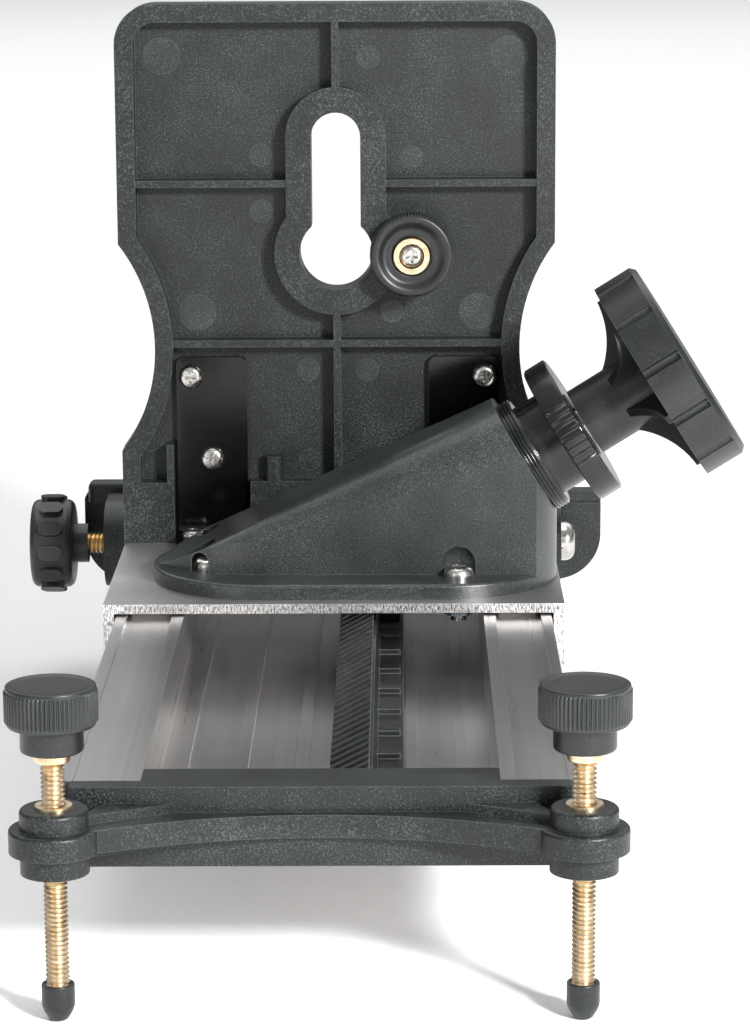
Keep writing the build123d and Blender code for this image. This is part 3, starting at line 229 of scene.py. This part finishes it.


# the white edge colour of both aluminium finishes is a painted highlight on their rounded edges
satinAluminium = plainMetal("extrudedSatinAluminium", {
    "layMm": (2.4, 400, 2.4), "cloudMm": 60, "cloudShare": 0.4, "dark": "#d6d3d1", "base": "#dedbd9",
    "light": "#e6e4e2", "rough": 0.28, "roughSpread": 0.03, "layDepth": 0.0005, "edge": "#ffffff"})
mattAluminium = plainMetal("blastedAluminium", {
    "layMm": (0.5, 0.5, 0.5), "cloudMm": 24, "cloudShare": 0.25, "dark": "#a5a1a2", "base": "#c6c3c4",
    "light": "#efecec", "rough": 0.4, "layDepth": 0.05, "edge": "#ffffff", "sawMarks": (0.5, 8, 1.6)})
turnedBrass = plainMetal("turnedBrass", {
    "layMm": (4, 4, 0.5), "cloudMm": 6, "cloudShare": 0.4, "dark": "#c9a87c", "base": "#ecd7b6",
    "light": "#fbeed6", "rough": 0.3, "layDepth": 0.006})
deepBrass = plainMetal("brassRod", {
    "layMm": (0.5, 4, 4), "cloudMm": 6, "cloudShare": 0.4, "dark": "#c59c6a", "base": "#ecd0a2",
    "light": "#fbe9c8", "rough": 0.3, "layDepth": 0.006})
zincSteel = plainMetal("brightZincSteel", {
    "layMm": (0.7, 0.7, 0.7), "cloudMm": 3, "cloudShare": 0.5, "dark": "#a19c98", "base": "#cfcbc6",
    "light": "#eceae7", "rough": 0.24, "layDepth": 0.01})
blueZinc = plainMetal("passivatedZincNut", {
    "layMm": (0.7, 0.7, 0.7), "cloudMm": 3, "cloudShare": 0.5, "dark": "#8d9aa2", "base": "#bcc8ce",
    "light": "#dfe7ea", "rough": 0.26, "layDepth": 0.01})


def enamelledSteel():
    # stove enamel over steel strip: deep gloss black with a faint orange peel
    material, tree, shader = newMaterial("glossBlackEnamel")
    peel = noise(tree, placePattern(tree, (1 / (2.2 * mm),) * 3), 1.0, 2.0)
    dust = noise(tree, placePattern(tree, (1 / (0.35 * mm),) * 3), 1.0, 1.0)
    tree.links.new(ramp(tree, dust, [(0.4, "#030303"), (0.7, "#050506"), (0.85, "#1c1d1e")]),
                   shader.inputs["Base Color"])
    rough = addNode(tree, "ShaderNodeMapRange", {"Value": peel, "To Min": 0.1, "To Max": 0.18})
    tree.links.new(rough.outputs["Result"], shader.inputs["Roughness"])
    bumpFrom(tree, shader, peel, 0.02 * mm, 0.5)
    shader.inputs["Specular IOR Level"].default_value = 0.35
    return material


blackEnamel = enamelledSteel()
print("materials ready")


# ---- mesh helpers

def meshObject(name, mesh, material):
    obj = bpy.data.objects.new(name, mesh)
    bpy.context.scene.collection.objects.link(obj)
    if material is not None:
        mesh.materials.clear()
        mesh.materials.append(material)
    return obj


def smoothByAngle(mesh, degrees):
    mesh.polygons.foreach_set("use_smooth", [True] * len(mesh.polygons))
    work = bmesh.new()
    work.from_mesh(mesh)
    limit = math.radians(degrees)
    for edge in work.edges:
        edge.smooth = edge.is_manifold and edge.calc_face_angle(0) < limit
    work.to_mesh(mesh)
    work.free()


def flatten(obj):
    # the evaluated shape as a plain mesh, in the same object
    shape = obj.evaluated_get(bpy.context.evaluated_depsgraph_get())
    mesh = bpy.data.meshes.new_from_object(shape)
    obj.modifiers.clear()
    old = obj.data
    obj.data = mesh
    bpy.data.meshes.remove(old)
    return obj


def evenNormals(obj):
    # broad faces stay flat in the light; only the rounded edges turn
    weigh = obj.modifiers.new("evenNormals", "WEIGHTED_NORMAL")
    weigh.keep_sharp = True
    weigh.weight = 90
    return flatten(obj)


def finishPiece(obj, body, nodes=()):
    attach(obj, body)
    if nodes:
        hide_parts(*nodes)
    return obj


def softenedCopy(node, name, material, radius, body, segments=2, angle=28, smooth=36):
    # the CAD shape with its triangles merged into faces and its edges rounded as moulded or rolled
    source = frame["nodes"][node]
    mesh = source.data.copy()
    work = bmesh.new()
    work.from_mesh(mesh)
    bmesh.ops.remove_doubles(work, verts=work.verts, dist=2e-6)
    bmesh.ops.dissolve_limit(work, angle_limit=math.radians(0.6), verts=work.verts, edges=work.edges)
    work.to_mesh(mesh)
    work.free()
    obj = meshObject(name, mesh, material)
    if radius > 0:
        bevel = obj.modifiers.new("edges", "BEVEL")
        bevel.width = radius * mm
        bevel.segments = segments
        bevel.limit_method = "ANGLE"
        bevel.angle_limit = math.radians(angle)
        bevel.use_clamp_overlap = True
        bevel.miter_outer = "MITER_ARC"
    obj.modifiers.new("triangles", "TRIANGULATE").min_vertices = 5
    flatten(obj)
    smoothByAngle(obj.data, smooth)
    evenNormals(obj)
    return finishPiece(obj, body, [node])


def lathe(profile, segments=96):
    # closed solid of revolution about Z from (radius, height) points in mm, bottom to top
    work = bmesh.new()
    rings = []
    for radius, height in profile:
        if radius <= 0:
            rings.append([work.verts.new((0, 0, height * mm))])
            continue
        rings.append([work.verts.new((radius * mm * math.cos(2 * math.pi * i / segments),
                                      radius * mm * math.sin(2 * math.pi * i / segments), height * mm))
                      for i in range(segments)])
    for low, high in zip(rings, rings[1:]):
        for i in range(segments):
            j = (i + 1) % segments
            corners = []
            for vert in (low[i % len(low)], low[j % len(low)], high[j % len(high)], high[i % len(high)]):
                if vert not in corners:
                    corners.append(vert)
            if len(corners) > 2:
                work.faces.new(corners)
    for ring in (rings[0], rings[-1]):
        if len(ring) > 1:
            work.faces.new(ring)
    bmesh.ops.recalc_face_normals(work, faces=work.faces)
    mesh = bpy.data.meshes.new("turned")
    work.to_mesh(mesh)
    work.free()
    return mesh


def roundedProfile(points, radius, steps=4):
    # the (radius, height) outline with its inner corners rounded off
    result = [points[0]]
    for before, corner, after in zip(points, points[1:], points[2:]):
        a, c, b = Vector(before), Vector(corner), Vector(after)
        reach = min(radius, (a - c).length * 0.45, (b - c).length * 0.45)
        start, end = c + (a - c).normalized() * reach, c + (b - c).normalized() * reach
        for i in range(steps + 1):
            t = i / steps
            point = start * (1 - t) ** 2 + c * 2 * t * (1 - t) + end * t ** 2
            result.append((point.x, point.y))
    result.append(points[-1])
    return result


def joinMeshes(meshes):
    work = bmesh.new()
    for mesh in meshes:
        work.from_mesh(mesh)
    joined = bpy.data.meshes.new("joined")
    work.to_mesh(joined)
    work.free()
    return joined


def alongFrame(origin, axis, across=(0, 1, 0)):
    # matrix whose Z is the axis and whose X is near the given direction
    z = Vector(axis).normalized()
    y = z.cross(Vector(across)).normalized()
    x = y.cross(z)
    matrix = Matrix((x, y, z)).transposed().to_4x4()
    matrix.translation = Vector(origin)
    return matrix


# ---- geometry node trees

def newTree(name, sockets):
    tree = bpy.data.node_groups.new(name, "GeometryNodeTree")
    tree.interface.new_socket("Geometry", in_out="INPUT", socket_type="NodeSocketGeometry")
    for label, kind, value in sockets:
        socket = tree.interface.new_socket(label, in_out="INPUT", socket_type="NodeSocket" + kind)
        if value is not None:
            socket.default_value = value
    tree.interface.new_socket("Geometry", in_out="OUTPUT", socket_type="NodeSocketGeometry")
    return tree, addNode(tree, "NodeGroupInput"), addNode(tree, "NodeGroupOutput")


def endTree(tree, given, result, geometry):
    real = addNode(tree, "GeometryNodeRealizeInstances", {"Geometry": geometry})
    coat = addNode(tree, "GeometryNodeSetMaterial",
                   {"Geometry": real.outputs["Geometry"], "Material": given.outputs["Material"]})
    tree.links.new(coat.outputs["Geometry"], result.inputs["Geometry"])


def useTree(obj, tree, values):
    modifier = obj.modifiers.new(tree.name, "NODES")
    modifier.node_group = tree
    idents = {item.name: item.identifier for item in tree.interface.items_tree if item.in_out == "INPUT"}
    for name, value in values.items():
        modifier[idents[name]] = value
    return modifier


def makeRingTree():
    # one item repeated round Z on a circle, each turned to face outwards; some places may be skipped
    tree, given, result = newTree("repeatRoundRing", [
        ("Item", "Object", None), ("Count", "Int", 12), ("Radius", "Float", 0.01), ("Height", "Float", 0.0),
        ("Group", "Int", 1), ("Kept", "Int", 1), ("Turn", "Float", 0.0), ("Material", "Material", None)])
    sockets = given.outputs
    index = addNode(tree, "GeometryNodeInputIndex").outputs[0]
    part = maths(tree, "DIVIDE", index, sockets["Count"])
    angle = maths(tree, "ADD", maths(tree, "MULTIPLY", part, 2 * math.pi), sockets["Turn"])
    x = maths(tree, "MULTIPLY", maths(tree, "COSINE", angle), sockets["Radius"])
    y = maths(tree, "MULTIPLY", maths(tree, "SINE", angle), sockets["Radius"])
    place = addNode(tree, "ShaderNodeCombineXYZ", {"X": x, "Y": y, "Z": sockets["Height"]})
    points = addNode(tree, "GeometryNodePoints", {"Count": sockets["Count"], "Position": place.outputs[0]})
    rest = maths(tree, "MODULO", index, sockets["Group"])
    kept = maths(tree, "LESS_THAN", rest, sockets["Kept"])
    spin = addNode(tree, "ShaderNodeCombineXYZ", {"Z": angle})
    item = addNode(tree, "GeometryNodeObjectInfo", {"Object": sockets["Item"]})
    copies = addNode(tree, "GeometryNodeInstanceOnPoints", {
        "Points": points.outputs[0], "Selection": kept, "Instance": item.outputs["Geometry"],
        "Rotation": spin.outputs[0]})
    joined = addNode(tree, "GeometryNodeJoinGeometry")
    tree.links.new(copies.outputs[0], joined.inputs[0])
    tree.links.new(sockets["Geometry"], joined.inputs[0])
    endTree(tree, given, result, joined.outputs[0])
    return tree


def makeThreadTree():
    # a rod along Z with a helical thread ridge, its crest at Radius
    tree, given, result = newTree("screwThread", [
        ("Radius", "Float", 0.003), ("Pitch", "Float", 0.00127), ("Bottom", "Float", 0.0),
        ("Top", "Float", 0.05), ("Material", "Material", None)])
    sockets = given.outputs
    span = maths(tree, "SUBTRACT", sockets["Top"], sockets["Bottom"])
    turns = maths(tree, "DIVIDE", span, sockets["Pitch"])
    depth = maths(tree, "MULTIPLY", sockets["Pitch"], 0.52)
    core = maths(tree, "SUBTRACT", sockets["Radius"], depth)
    spiral = addNode(tree, "GeometryNodeCurveSpiral", {
        "Resolution": 28, "Rotations": turns, "Start Radius": core, "End Radius": core, "Height": span})
    upright = addNode(tree, "GeometryNodeSetCurveNormal", {"Curve": spiral.outputs[0]}, mode="Z_UP")
    ridge = addNode(tree, "GeometryNodeCurvePrimitiveCircle", {"Resolution": 4, "Radius": depth})
    thread = addNode(tree, "GeometryNodeCurveToMesh", {
        "Curve": upright.outputs[0], "Profile Curve": ridge.outputs[0], "Fill Caps": True})
    thick = maths(tree, "ADD", core, 0.06 * mm)
    rod = addNode(tree, "GeometryNodeMeshCylinder", {"Vertices": 40, "Radius": thick, "Depth": span})
    lift = addNode(tree, "ShaderNodeCombineXYZ", {"Z": maths(tree, "MULTIPLY", span, 0.5)})
    centred = addNode(tree, "GeometryNodeTransform", {
        "Geometry": rod.outputs[0], "Translation": lift.outputs[0]})
    both = addNode(tree, "GeometryNodeJoinGeometry")
    tree.links.new(thread.outputs[0], both.inputs[0])
    tree.links.new(centred.outputs[0], both.inputs[0])
    base = addNode(tree, "ShaderNodeCombineXYZ", {"Z": sockets["Bottom"]})
    raised = addNode(tree, "GeometryNodeTransform", {
        "Geometry": both.outputs[0], "Translation": base.outputs[0]})
    joined = addNode(tree, "GeometryNodeJoinGeometry")
    tree.links.new(raised.outputs[0], joined.inputs[0])
    tree.links.new(sockets["Geometry"], joined.inputs[0])
    endTree(tree, given, result, joined.outputs[0])
    return tree


ringTree, threadTree = makeRingTree(), makeThreadTree()


def grown(mesh, tree, values, material):
    # run a tree on a mesh and give back the plain result
    obj = bpy.data.objects.new("work", mesh)
    bpy.context.scene.collection.objects.link(obj)
    useTree(obj, tree, dict(values, Material=material))
    flatten(obj)
    result = obj.data
    bpy.data.objects.remove(obj)
    return result


def itemObject(name, mesh):
    # a shape for a tree to repeat, kept out of the scene
    return bpy.data.objects.new(name, mesh)


def ridgeItem(width, depth, height, lead):
    # one knurl ridge: pointed outwards along X, its ends sloped back
    work = bmesh.new()
    levels = [(0, 0.15), (lead, 1.0), (height - lead, 1.0), (height, 0.15)]
    rings = []
    for z, share in levels:
        rings.append([work.verts.new((x * mm, y * mm, z * mm)) for x, y in
                      ((-depth, -width / 2), (0, -width / 2), (depth * share, -width * 0.16),
                       (depth * share, width * 0.16), (0, width / 2), (-depth, width / 2))])
    for low, high in zip(rings, rings[1:]):
        for i in range(6):
            j = (i + 1) % 6
            work.faces.new((low[i], low[j], high[j], high[i]))
    work.faces.new(rings[0][::-1])
    work.faces.new(rings[-1])
    bmesh.ops.recalc_face_normals(work, faces=work.faces)
    mesh = bpy.data.meshes.new("ridge")
    work.to_mesh(mesh)
    work.free()
    return mesh


# ---- camera, floor and lights

cameraPlace = {"spot": (21.7, -1202.7, 310.75), "pitch": 11.905, "yaw": -0.468, "roll": -0.326,
               "lens": 118.23, "sensor": 36}


def makeCamera():
    data = bpy.data.cameras.new("camera")
    data.lens = cameraPlace["lens"]
    data.sensor_width = cameraPlace["sensor"]
    data.clip_start, data.clip_end = 0.05, 50
    camera = bpy.data.objects.new("camera", data)
    bpy.context.scene.collection.objects.link(camera)
    th, ya, ro = (math.radians(cameraPlace[key]) for key in ("pitch", "yaw", "roll"))
    forward = Vector((math.sin(ya) * math.cos(th), math.cos(ya) * math.cos(th), -math.sin(th)))
    right = Vector((math.cos(ya), -math.sin(ya), 0))
    up = right.cross(forward)
    turnedRight = right * math.cos(ro) + up * math.sin(ro)
    turnedUp = up * math.cos(ro) - right * math.sin(ro)
    camera.matrix_world = Matrix.Translation(Vector(cameraPlace["spot"]) * mm) @ Matrix(
        (turnedRight, turnedUp, -forward)).transposed().to_4x4()
    bpy.context.scene.camera = camera


def areaLight(name, place, target, size, power):
    data = bpy.data.lights.new(name, "AREA")
    data.shape = "RECTANGLE"
    data.size, data.size_y = size
    data.energy = power
    light = bpy.data.objects.new(name, data)
    light.location = place
    light.rotation_euler = (Vector(target) - Vector(place)).to_track_quat("-Z", "Y").to_euler()
    bpy.context.scene.collection.objects.link(light)


studio = {"skyLow": "#505255", "skyHigh": "#b4b6b8", "skyStrength": 1.0, "keyWatts": 42, "keySize": 0.22,
          "fillWatts": 2.5, "topWatts": 6, "backWatts": 60, "floorHalf": 12}


def makeSky():
    # a studio whose ceiling is bright and whose walls at the camera's height are dim
    world = bpy.data.worlds.new("studio")
    world.use_nodes = True
    tree = world.node_tree
    background = tree.nodes["Background"]
    coords = addNode(tree, "ShaderNodeTexCoord")
    split = addNode(tree, "ShaderNodeSeparateXYZ", {0: coords.outputs["Generated"]})
    height = addNode(tree, "ShaderNodeMapRange", {
        "Value": split.outputs["Z"], "From Min": 0.05, "From Max": 0.5})
    shade = ramp(tree, height.outputs["Result"], [(0.0, studio["skyLow"]), (1.0, studio["skyHigh"])])
    tree.links.new(shade, background.inputs["Color"])
    background.inputs["Strength"].default_value = studio["skyStrength"]
    bpy.context.scene.world = world


def makeStudio():
    makeSky()
    work = bmesh.new()
    bmesh.ops.create_grid(work, x_segments=1, y_segments=1, size=studio["floorHalf"])
    mesh = bpy.data.meshes.new("floor")
    work.to_mesh(mesh)
    work.free()
    paper, tree, shader = newMaterial("whitePaper")
    grain = noise(tree, placePattern(tree, (1 / (3 * mm),) * 3), 1.0, 2.0)
    tree.links.new(ramp(tree, grain, [(0.3, "#fafafa"), (0.7, "#fdfdfd")]), shader.inputs["Base Color"])
    shader.inputs["Roughness"].default_value = 0.9
    meshObject("floor", mesh, paper)
    keySize = (studio["keySize"],) * 2
    areaLight("keySoftbox", (0.75, -1.35, 0.72), (0.0, -0.12, 0.12), keySize, studio["keyWatts"])
    areaLight("frontFill", (-0.9, -1.5, 0.5), (0.0, -0.2, 0.1), (0.8, 0.6), studio["fillWatts"])
    areaLight("topLight", (-0.1, 0.1, 1.4), (0.0, -0.15, 0.0), (1.0, 1.0), studio["topWatts"])
    areaLight("backdropLight", (0.0, 2.6, 2.2), (0.0, 3.0, 0.0), (5.0, 3.0), studio["backWatts"])
    view = bpy.context.scene.view_settings
    view.view_transform = "Standard"
    view.look = "None"


makeCamera()
makeStudio()
print("camera and studio ready")


# ---- levelling screws: brass rod with a knurled nylon knob and a vinyl tip

foot = {"threadPitch": 1.27, "knurls": 64, "ridgeDepth": 0.42, "ridgeLength": 8.6, "ridgeFill": 0.86,
        "lead": 0.5, "edge": 1.0, "flangeR": 4.75, "flangeHeight": 2.8, "flangeEdge": 0.5, "collarR": 8.25,
        "headHeight": 10.7, "headDish": 0.25, "tipWall": 1.175, "tipEdge": 1.1}


def endsOf(node):
    # the two corners of a node's box, in mm
    return [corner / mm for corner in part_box(node)]


def makeLevellingScrew(side, home, rodR):
    low, high = endsOf(side + "_foot_screw")
    top = endsOf(side + "_foot_knob")[0].z
    bottom, radius = top - foot["flangeHeight"], foot["flangeR"]
    outline = [(0, bottom), (radius, bottom), (radius, top + 0.2), (0, top + 0.2)]
    flange = lathe(roundedProfile(outline, foot["flangeEdge"]))
    screw = grown(flange, threadTree, {"Radius": rodR * mm, "Pitch": foot["threadPitch"] * mm,
                                       "Bottom": low.z * mm, "Top": high.z * mm}, turnedBrass)
    screw.transform(home)
    smoothByAngle(screw, 40)
    finishPiece(meshObject(side + "LevellingScrew", screw, turnedBrass), side + "_screw",
                [side + "_foot_screw"])


def makeLevellingKnob(side, home):
    low, high = endsOf(side + "_foot_knob")
    radius, collarR = (high.x - low.x) / 2 - foot["ridgeDepth"], foot["collarR"]
    top, head = high.z, high.z - foot["headHeight"]
    dish = foot["headDish"]
    outline = [(0, low.z), (collarR, low.z), (collarR, head), (radius - 0.4, head), (radius, head + 0.9),
               (radius, top), (radius - 1.2, top - 0.05), (radius - 2.4, top - dish), (0, top - dish)]
    body = lathe(roundedProfile(outline, foot["edge"]), 128)
    ridge = ridgeItem(2 * math.pi * radius / foot["knurls"] * foot["ridgeFill"], foot["ridgeDepth"],
                      foot["ridgeLength"], foot["lead"])
    knob = grown(body, ringTree, {"Item": itemObject("knurl", ridge), "Count": foot["knurls"],
                                  "Radius": radius * mm, "Height": (head + 1.0) * mm}, knobNylon)
    knob.transform(home)
    smoothByAngle(knob, 34)
    finishPiece(meshObject(side + "LevellingKnob", knob, knobNylon), side + "_screw",
                [side + "_foot_knob"])


def makeVinylTip(side, home, rodR):
    low, high = endsOf(side + "_foot_tip")
    radius, bore = (high.x - low.x) / 2, rodR + 0.1
    outline = [(0, low.z), (radius * 0.52, low.z), (radius * 0.86, low.z + 2.4), (radius, low.z + 4.0),
               (radius, high.z), (bore, high.z), (bore, high.z - 0.6), (0, high.z - 0.6)]
    tip = lathe(roundedProfile(outline, foot["tipEdge"], 6))
    tip.transform(home)
    smoothByAngle(tip, 40)
    finishPiece(meshObject(side + "VinylTip", tip, softVinyl), side + "_tip", [side + "_foot_tip"])


def makeFeet():
    for side in ("left", "right"):
        low, high = endsOf(side + "_foot_screw")
        x, y = (low.x + high.x) / 2, (low.y + high.y) / 2
        home = Matrix.Translation((x * mm, y * mm, 0))
        rodR = endsOf(side + "_foot_tip")[1].x - x - foot["tipWall"]
        makeLevellingScrew(side, home, rodR)
        makeLevellingKnob(side, home)
        makeVinylTip(side, home, rodR)


makeFeet()
print("levelling screws ready")


# ---- drive line: the drag ring; the lobed knob and threaded collar are softened CAD copies further down

driveLine = {"serrations": 54, "group": 18, "kept": 8, "ringR": 24.5, "ridgeDepth": 0.5, "ridgeWidth": 1.5,
             "ridgeEnd": 0.3, "lead": 0.4, "boreR": 12.1, "seatR": 16.05, "edge": 0.7, "turn": 2.6}
shaftFrame = alongFrame(joints["drive_spin"]["pos_m"], joints["drive_spin"]["axis"])


def alongShaft(node):
    # distances of a node's ends from the mesh point, in mm, measured along the shaft
    inverse = shaftFrame.inverted()
    heights = [(inverse @ vert.co).z / mm for vert in frame["nodes"][node].data.vertices]
    return min(heights), max(heights)


def makeDragRing():
    start, end = alongShaft("drag_ring")
    width, radius = end - start, driveLine["ringR"] - driveLine["ridgeDepth"]
    boreR, gap = driveLine["boreR"], driveLine["ridgeEnd"]
    outline = [(boreR, 0.0), (driveLine["seatR"], 0.0), (radius, 0.0), (radius, width), (boreR, width)]
    body = lathe(roundedProfile(outline, driveLine["edge"]))
    ridge = ridgeItem(driveLine["ridgeWidth"], driveLine["ridgeDepth"], width - 2 * gap, driveLine["lead"])
    ring = grown(body, ringTree, {
        "Item": itemObject("serration", ridge), "Count": driveLine["serrations"], "Radius": radius * mm,
        "Height": gap * mm, "Group": driveLine["group"], "Kept": driveLine["kept"],
        "Turn": driveLine["turn"]}, glossNylon)
    ring.transform(shaftFrame @ Matrix.Translation((0, 0, start * mm)))
    smoothByAngle(ring, 36)
    finishPiece(meshObject("dragRing", ring, glossNylon), "drag_ring", ["drag_ring"])


makeDragRing()
print("drive line ready")


# ---- small platform knob: a fine-toothed disc with a dished face round its brass bush

platformKnob = {"teeth": 84, "toothDepth": 0.5, "toothFill": 0.84, "toothEnd": 0.4, "dish": 1.5,
                "dishEdge": 4.2, "rim": 2.2, "lead": 0.5, "edge": 0.7}


def middleOf(node):
    low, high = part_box(node)
    return (low + high) / 2, (high - low) / 2


def makePlatformKnob():
    middle, half = middleOf("platform_knob")
    bushR = middleOf("platform_knob_bush")[1].x / mm
    width, radius = 2 * half.y / mm, half.x / mm - platformKnob["toothDepth"]
    floor, edge = width - platformKnob["dish"], platformKnob["edge"]
    outline = [(bushR, 0), (radius, 0), (radius, width), (radius - platformKnob["rim"], width),
               (radius - platformKnob["dishEdge"], floor), (bushR + 0.9, floor), (bushR, floor - 0.7),
               (bushR, 0)]
    body = lathe(roundedProfile(outline, edge), 168)
    tooth = ridgeItem(2 * math.pi * radius / platformKnob["teeth"] * platformKnob["toothFill"],
                      platformKnob["toothDepth"], width - edge - platformKnob["toothEnd"],
                      platformKnob["lead"])
    knob = grown(body, ringTree, {"Item": itemObject("tooth", tooth), "Count": platformKnob["teeth"],
                                  "Radius": radius * mm, "Height": platformKnob["toothEnd"] * mm}, knobNylon)
    back = (middle.x, middle.y + half.y, middle.z)
    knob.transform(alongFrame(back, (0, -1, 0), (1, 0, 0)))
    smoothByAngle(knob, 34)
    finishPiece(meshObject("platformKnob", knob, knobNylon), "platform_knob",
                ["platform_knob"])


makePlatformKnob()
print("platform knob ready")


# ---- round marks that the mould's ejector pins leave on the plate's web

ejectorMarks = {"proud": 0.14, "sunk": 0.1, "web": 4.3, "wideR": 6.35, "narrowR": 4.0,
                "wide": [(-58.2, 165.3), (58.2, 165.3), (-47.6, 78.5), (47.6, 78.5)],
                "narrow": [(11.0, 164.5), (-25.4, 132.0), (-25.2, 113.0), (25.3, 131.0), (18.6, 78.7),
                           (-10.0, 58.5), (10.0, 58.5), (-9.7, 27.3)]}


def makeEjectorMarks():
    low, high = endsOf("platform_plate")
    face, proud, sunk = high.y - ejectorMarks["web"], ejectorMarks["proud"], ejectorMarks["sunk"]
    marks = []
    for radius, places in ((ejectorMarks["wideR"], ejectorMarks["wide"]),
                           (ejectorMarks["narrowR"], ejectorMarks["narrow"])):
        for x, rise in places:
            disc = lathe([(0, -sunk), (radius, -sunk), (radius - 0.12, proud), (0, proud)], 48)
            disc.transform(alongFrame((x * mm, face * mm, (low.z + rise) * mm), (0, -1, 0), (1, 0, 0)))
            marks.append(disc)
    mesh = joinMeshes(marks)
    finishPiece(meshObject("ejectorMarks", mesh, pinMark), "carriage")


makeEjectorMarks()
print("ejector marks ready")


# ---- clamp screw of the hanger: brass thread between the lock knob and the boss

clampScrew = {"pitch": 1.41}   # 5/16 inch, 18 turns to the inch


def makeClampScrew():
    middle, half = middleOf("lock_screw")
    empty = bpy.data.meshes.new("start")
    screw = grown(empty, threadTree, {"Radius": half.y, "Pitch": clampScrew["pitch"] * mm,
                                      "Bottom": 0.0, "Top": 2 * half.x}, deepBrass)
    screw.transform(alongFrame((middle.x - half.x, middle.y, middle.z), (1, 0, 0)))
    smoothByAngle(screw, 40)
    finishPiece(meshObject("clampScrew", screw, deepBrass), "lock", ["lock_screw"])


makeClampScrew()
print("clamp screw ready")


# ---- parts whose CAD shape is right: softened edges and a finish

softened = [
    ("platform_plate", "platformPlate", filledNylon, 0.45, "carriage", "filled_nylon"),
    ("drive_housing", "driveHousing", paintedLitHousingNylon, 0.5, "carriage", "filled_nylon"),
    ("front_end_cap", "frontEndCap", filledNylon, 0.5, "rail", "filled_nylon"),
    ("rear_end_cap", "rearEndCap", filledNylon, 0.5, "rail", "filled_nylon"),
    ("hanger_plate", "hangerPlate", filledNylon, 0.5, "hanger", "filled_nylon"),
    ("wall_pad", "wallPad", sheetRubber, 0.3, "hanger", "pad_rubber"),
    ("drive_knob", "driveKnob", knobNylon, 0.35, "drive", "knob_plastic"),
    ("threaded_collar", "threadedCollar", glossNylon, 0.15, "carriage", "glossy_black_plastic"),
    ("lock_knob", "lockKnob", knobNylon, 0.25, "lock", "knob_plastic"),
    ("left_angle_bracket", "leftAngleBracket", blackEnamel, 0.5, "carriage", "black_enamelled_steel"),
    ("right_angle_bracket", "rightAngleBracket", blackEnamel, 0.5, "carriage", "black_enamelled_steel"),
    ("carriage_channel", "carriageChannel", mattAluminium, 0.4, "carriage", "sawn_aluminium"),
    ("rail_extrusion", "railExtrusion", satinAluminium, 0.25, "rail", "satin_aluminium"),
    ("gear_rack", "gearRack", acetalBlack, 0.12, "rail", "rack_plastic"),
    ("housing_screws", "housingScrews", zincSteel, 0.12, "carriage", "zinc_steel"),
    ("housing_nuts", "housingNuts", blueZinc, 0.3, "carriage", "zinc_steel"),
    ("platform_screws", "platformScrews", zincSteel, 0.12, "carriage", "zinc_steel"),
    ("bracket_foot_screws", "bracketFootScrews", zincSteel, 0.12, "carriage", "zinc_steel"),
    ("platform_knob_screw", "platformKnobScrew", zincSteel, 0.12, "carriage", "zinc_steel"),
    ("pivot_screw", "pivotScrew", zincSteel, 0.15, "rail", "zinc_steel"),
]
for node, name, material, radius, body, slotName in softened:
    softenedCopy(node, name, material, radius, body)

finishes = {
    "rack_screws": zincSteel, "front_cap_screws": zincSteel, "rear_cap_screws": zincSteel,
    "foot_thread_inserts": turnedBrass, "pivot_inserts": deepBrass,
    "lock_pad": acetalWhite, "glide_strips": acetalWhite, "shaft_bushing": acetalWhite,
    "drive_shaft": zincSteel, "drive_pinion": acetalBlack, "pinion_clip": zincSteel,
    "platform_knob_bush": turnedBrass}
for node, material in finishes.items():
    mesh = frame["nodes"][node].data
    mesh.materials.clear()
    mesh.materials.append(material)
print("finishes ready")
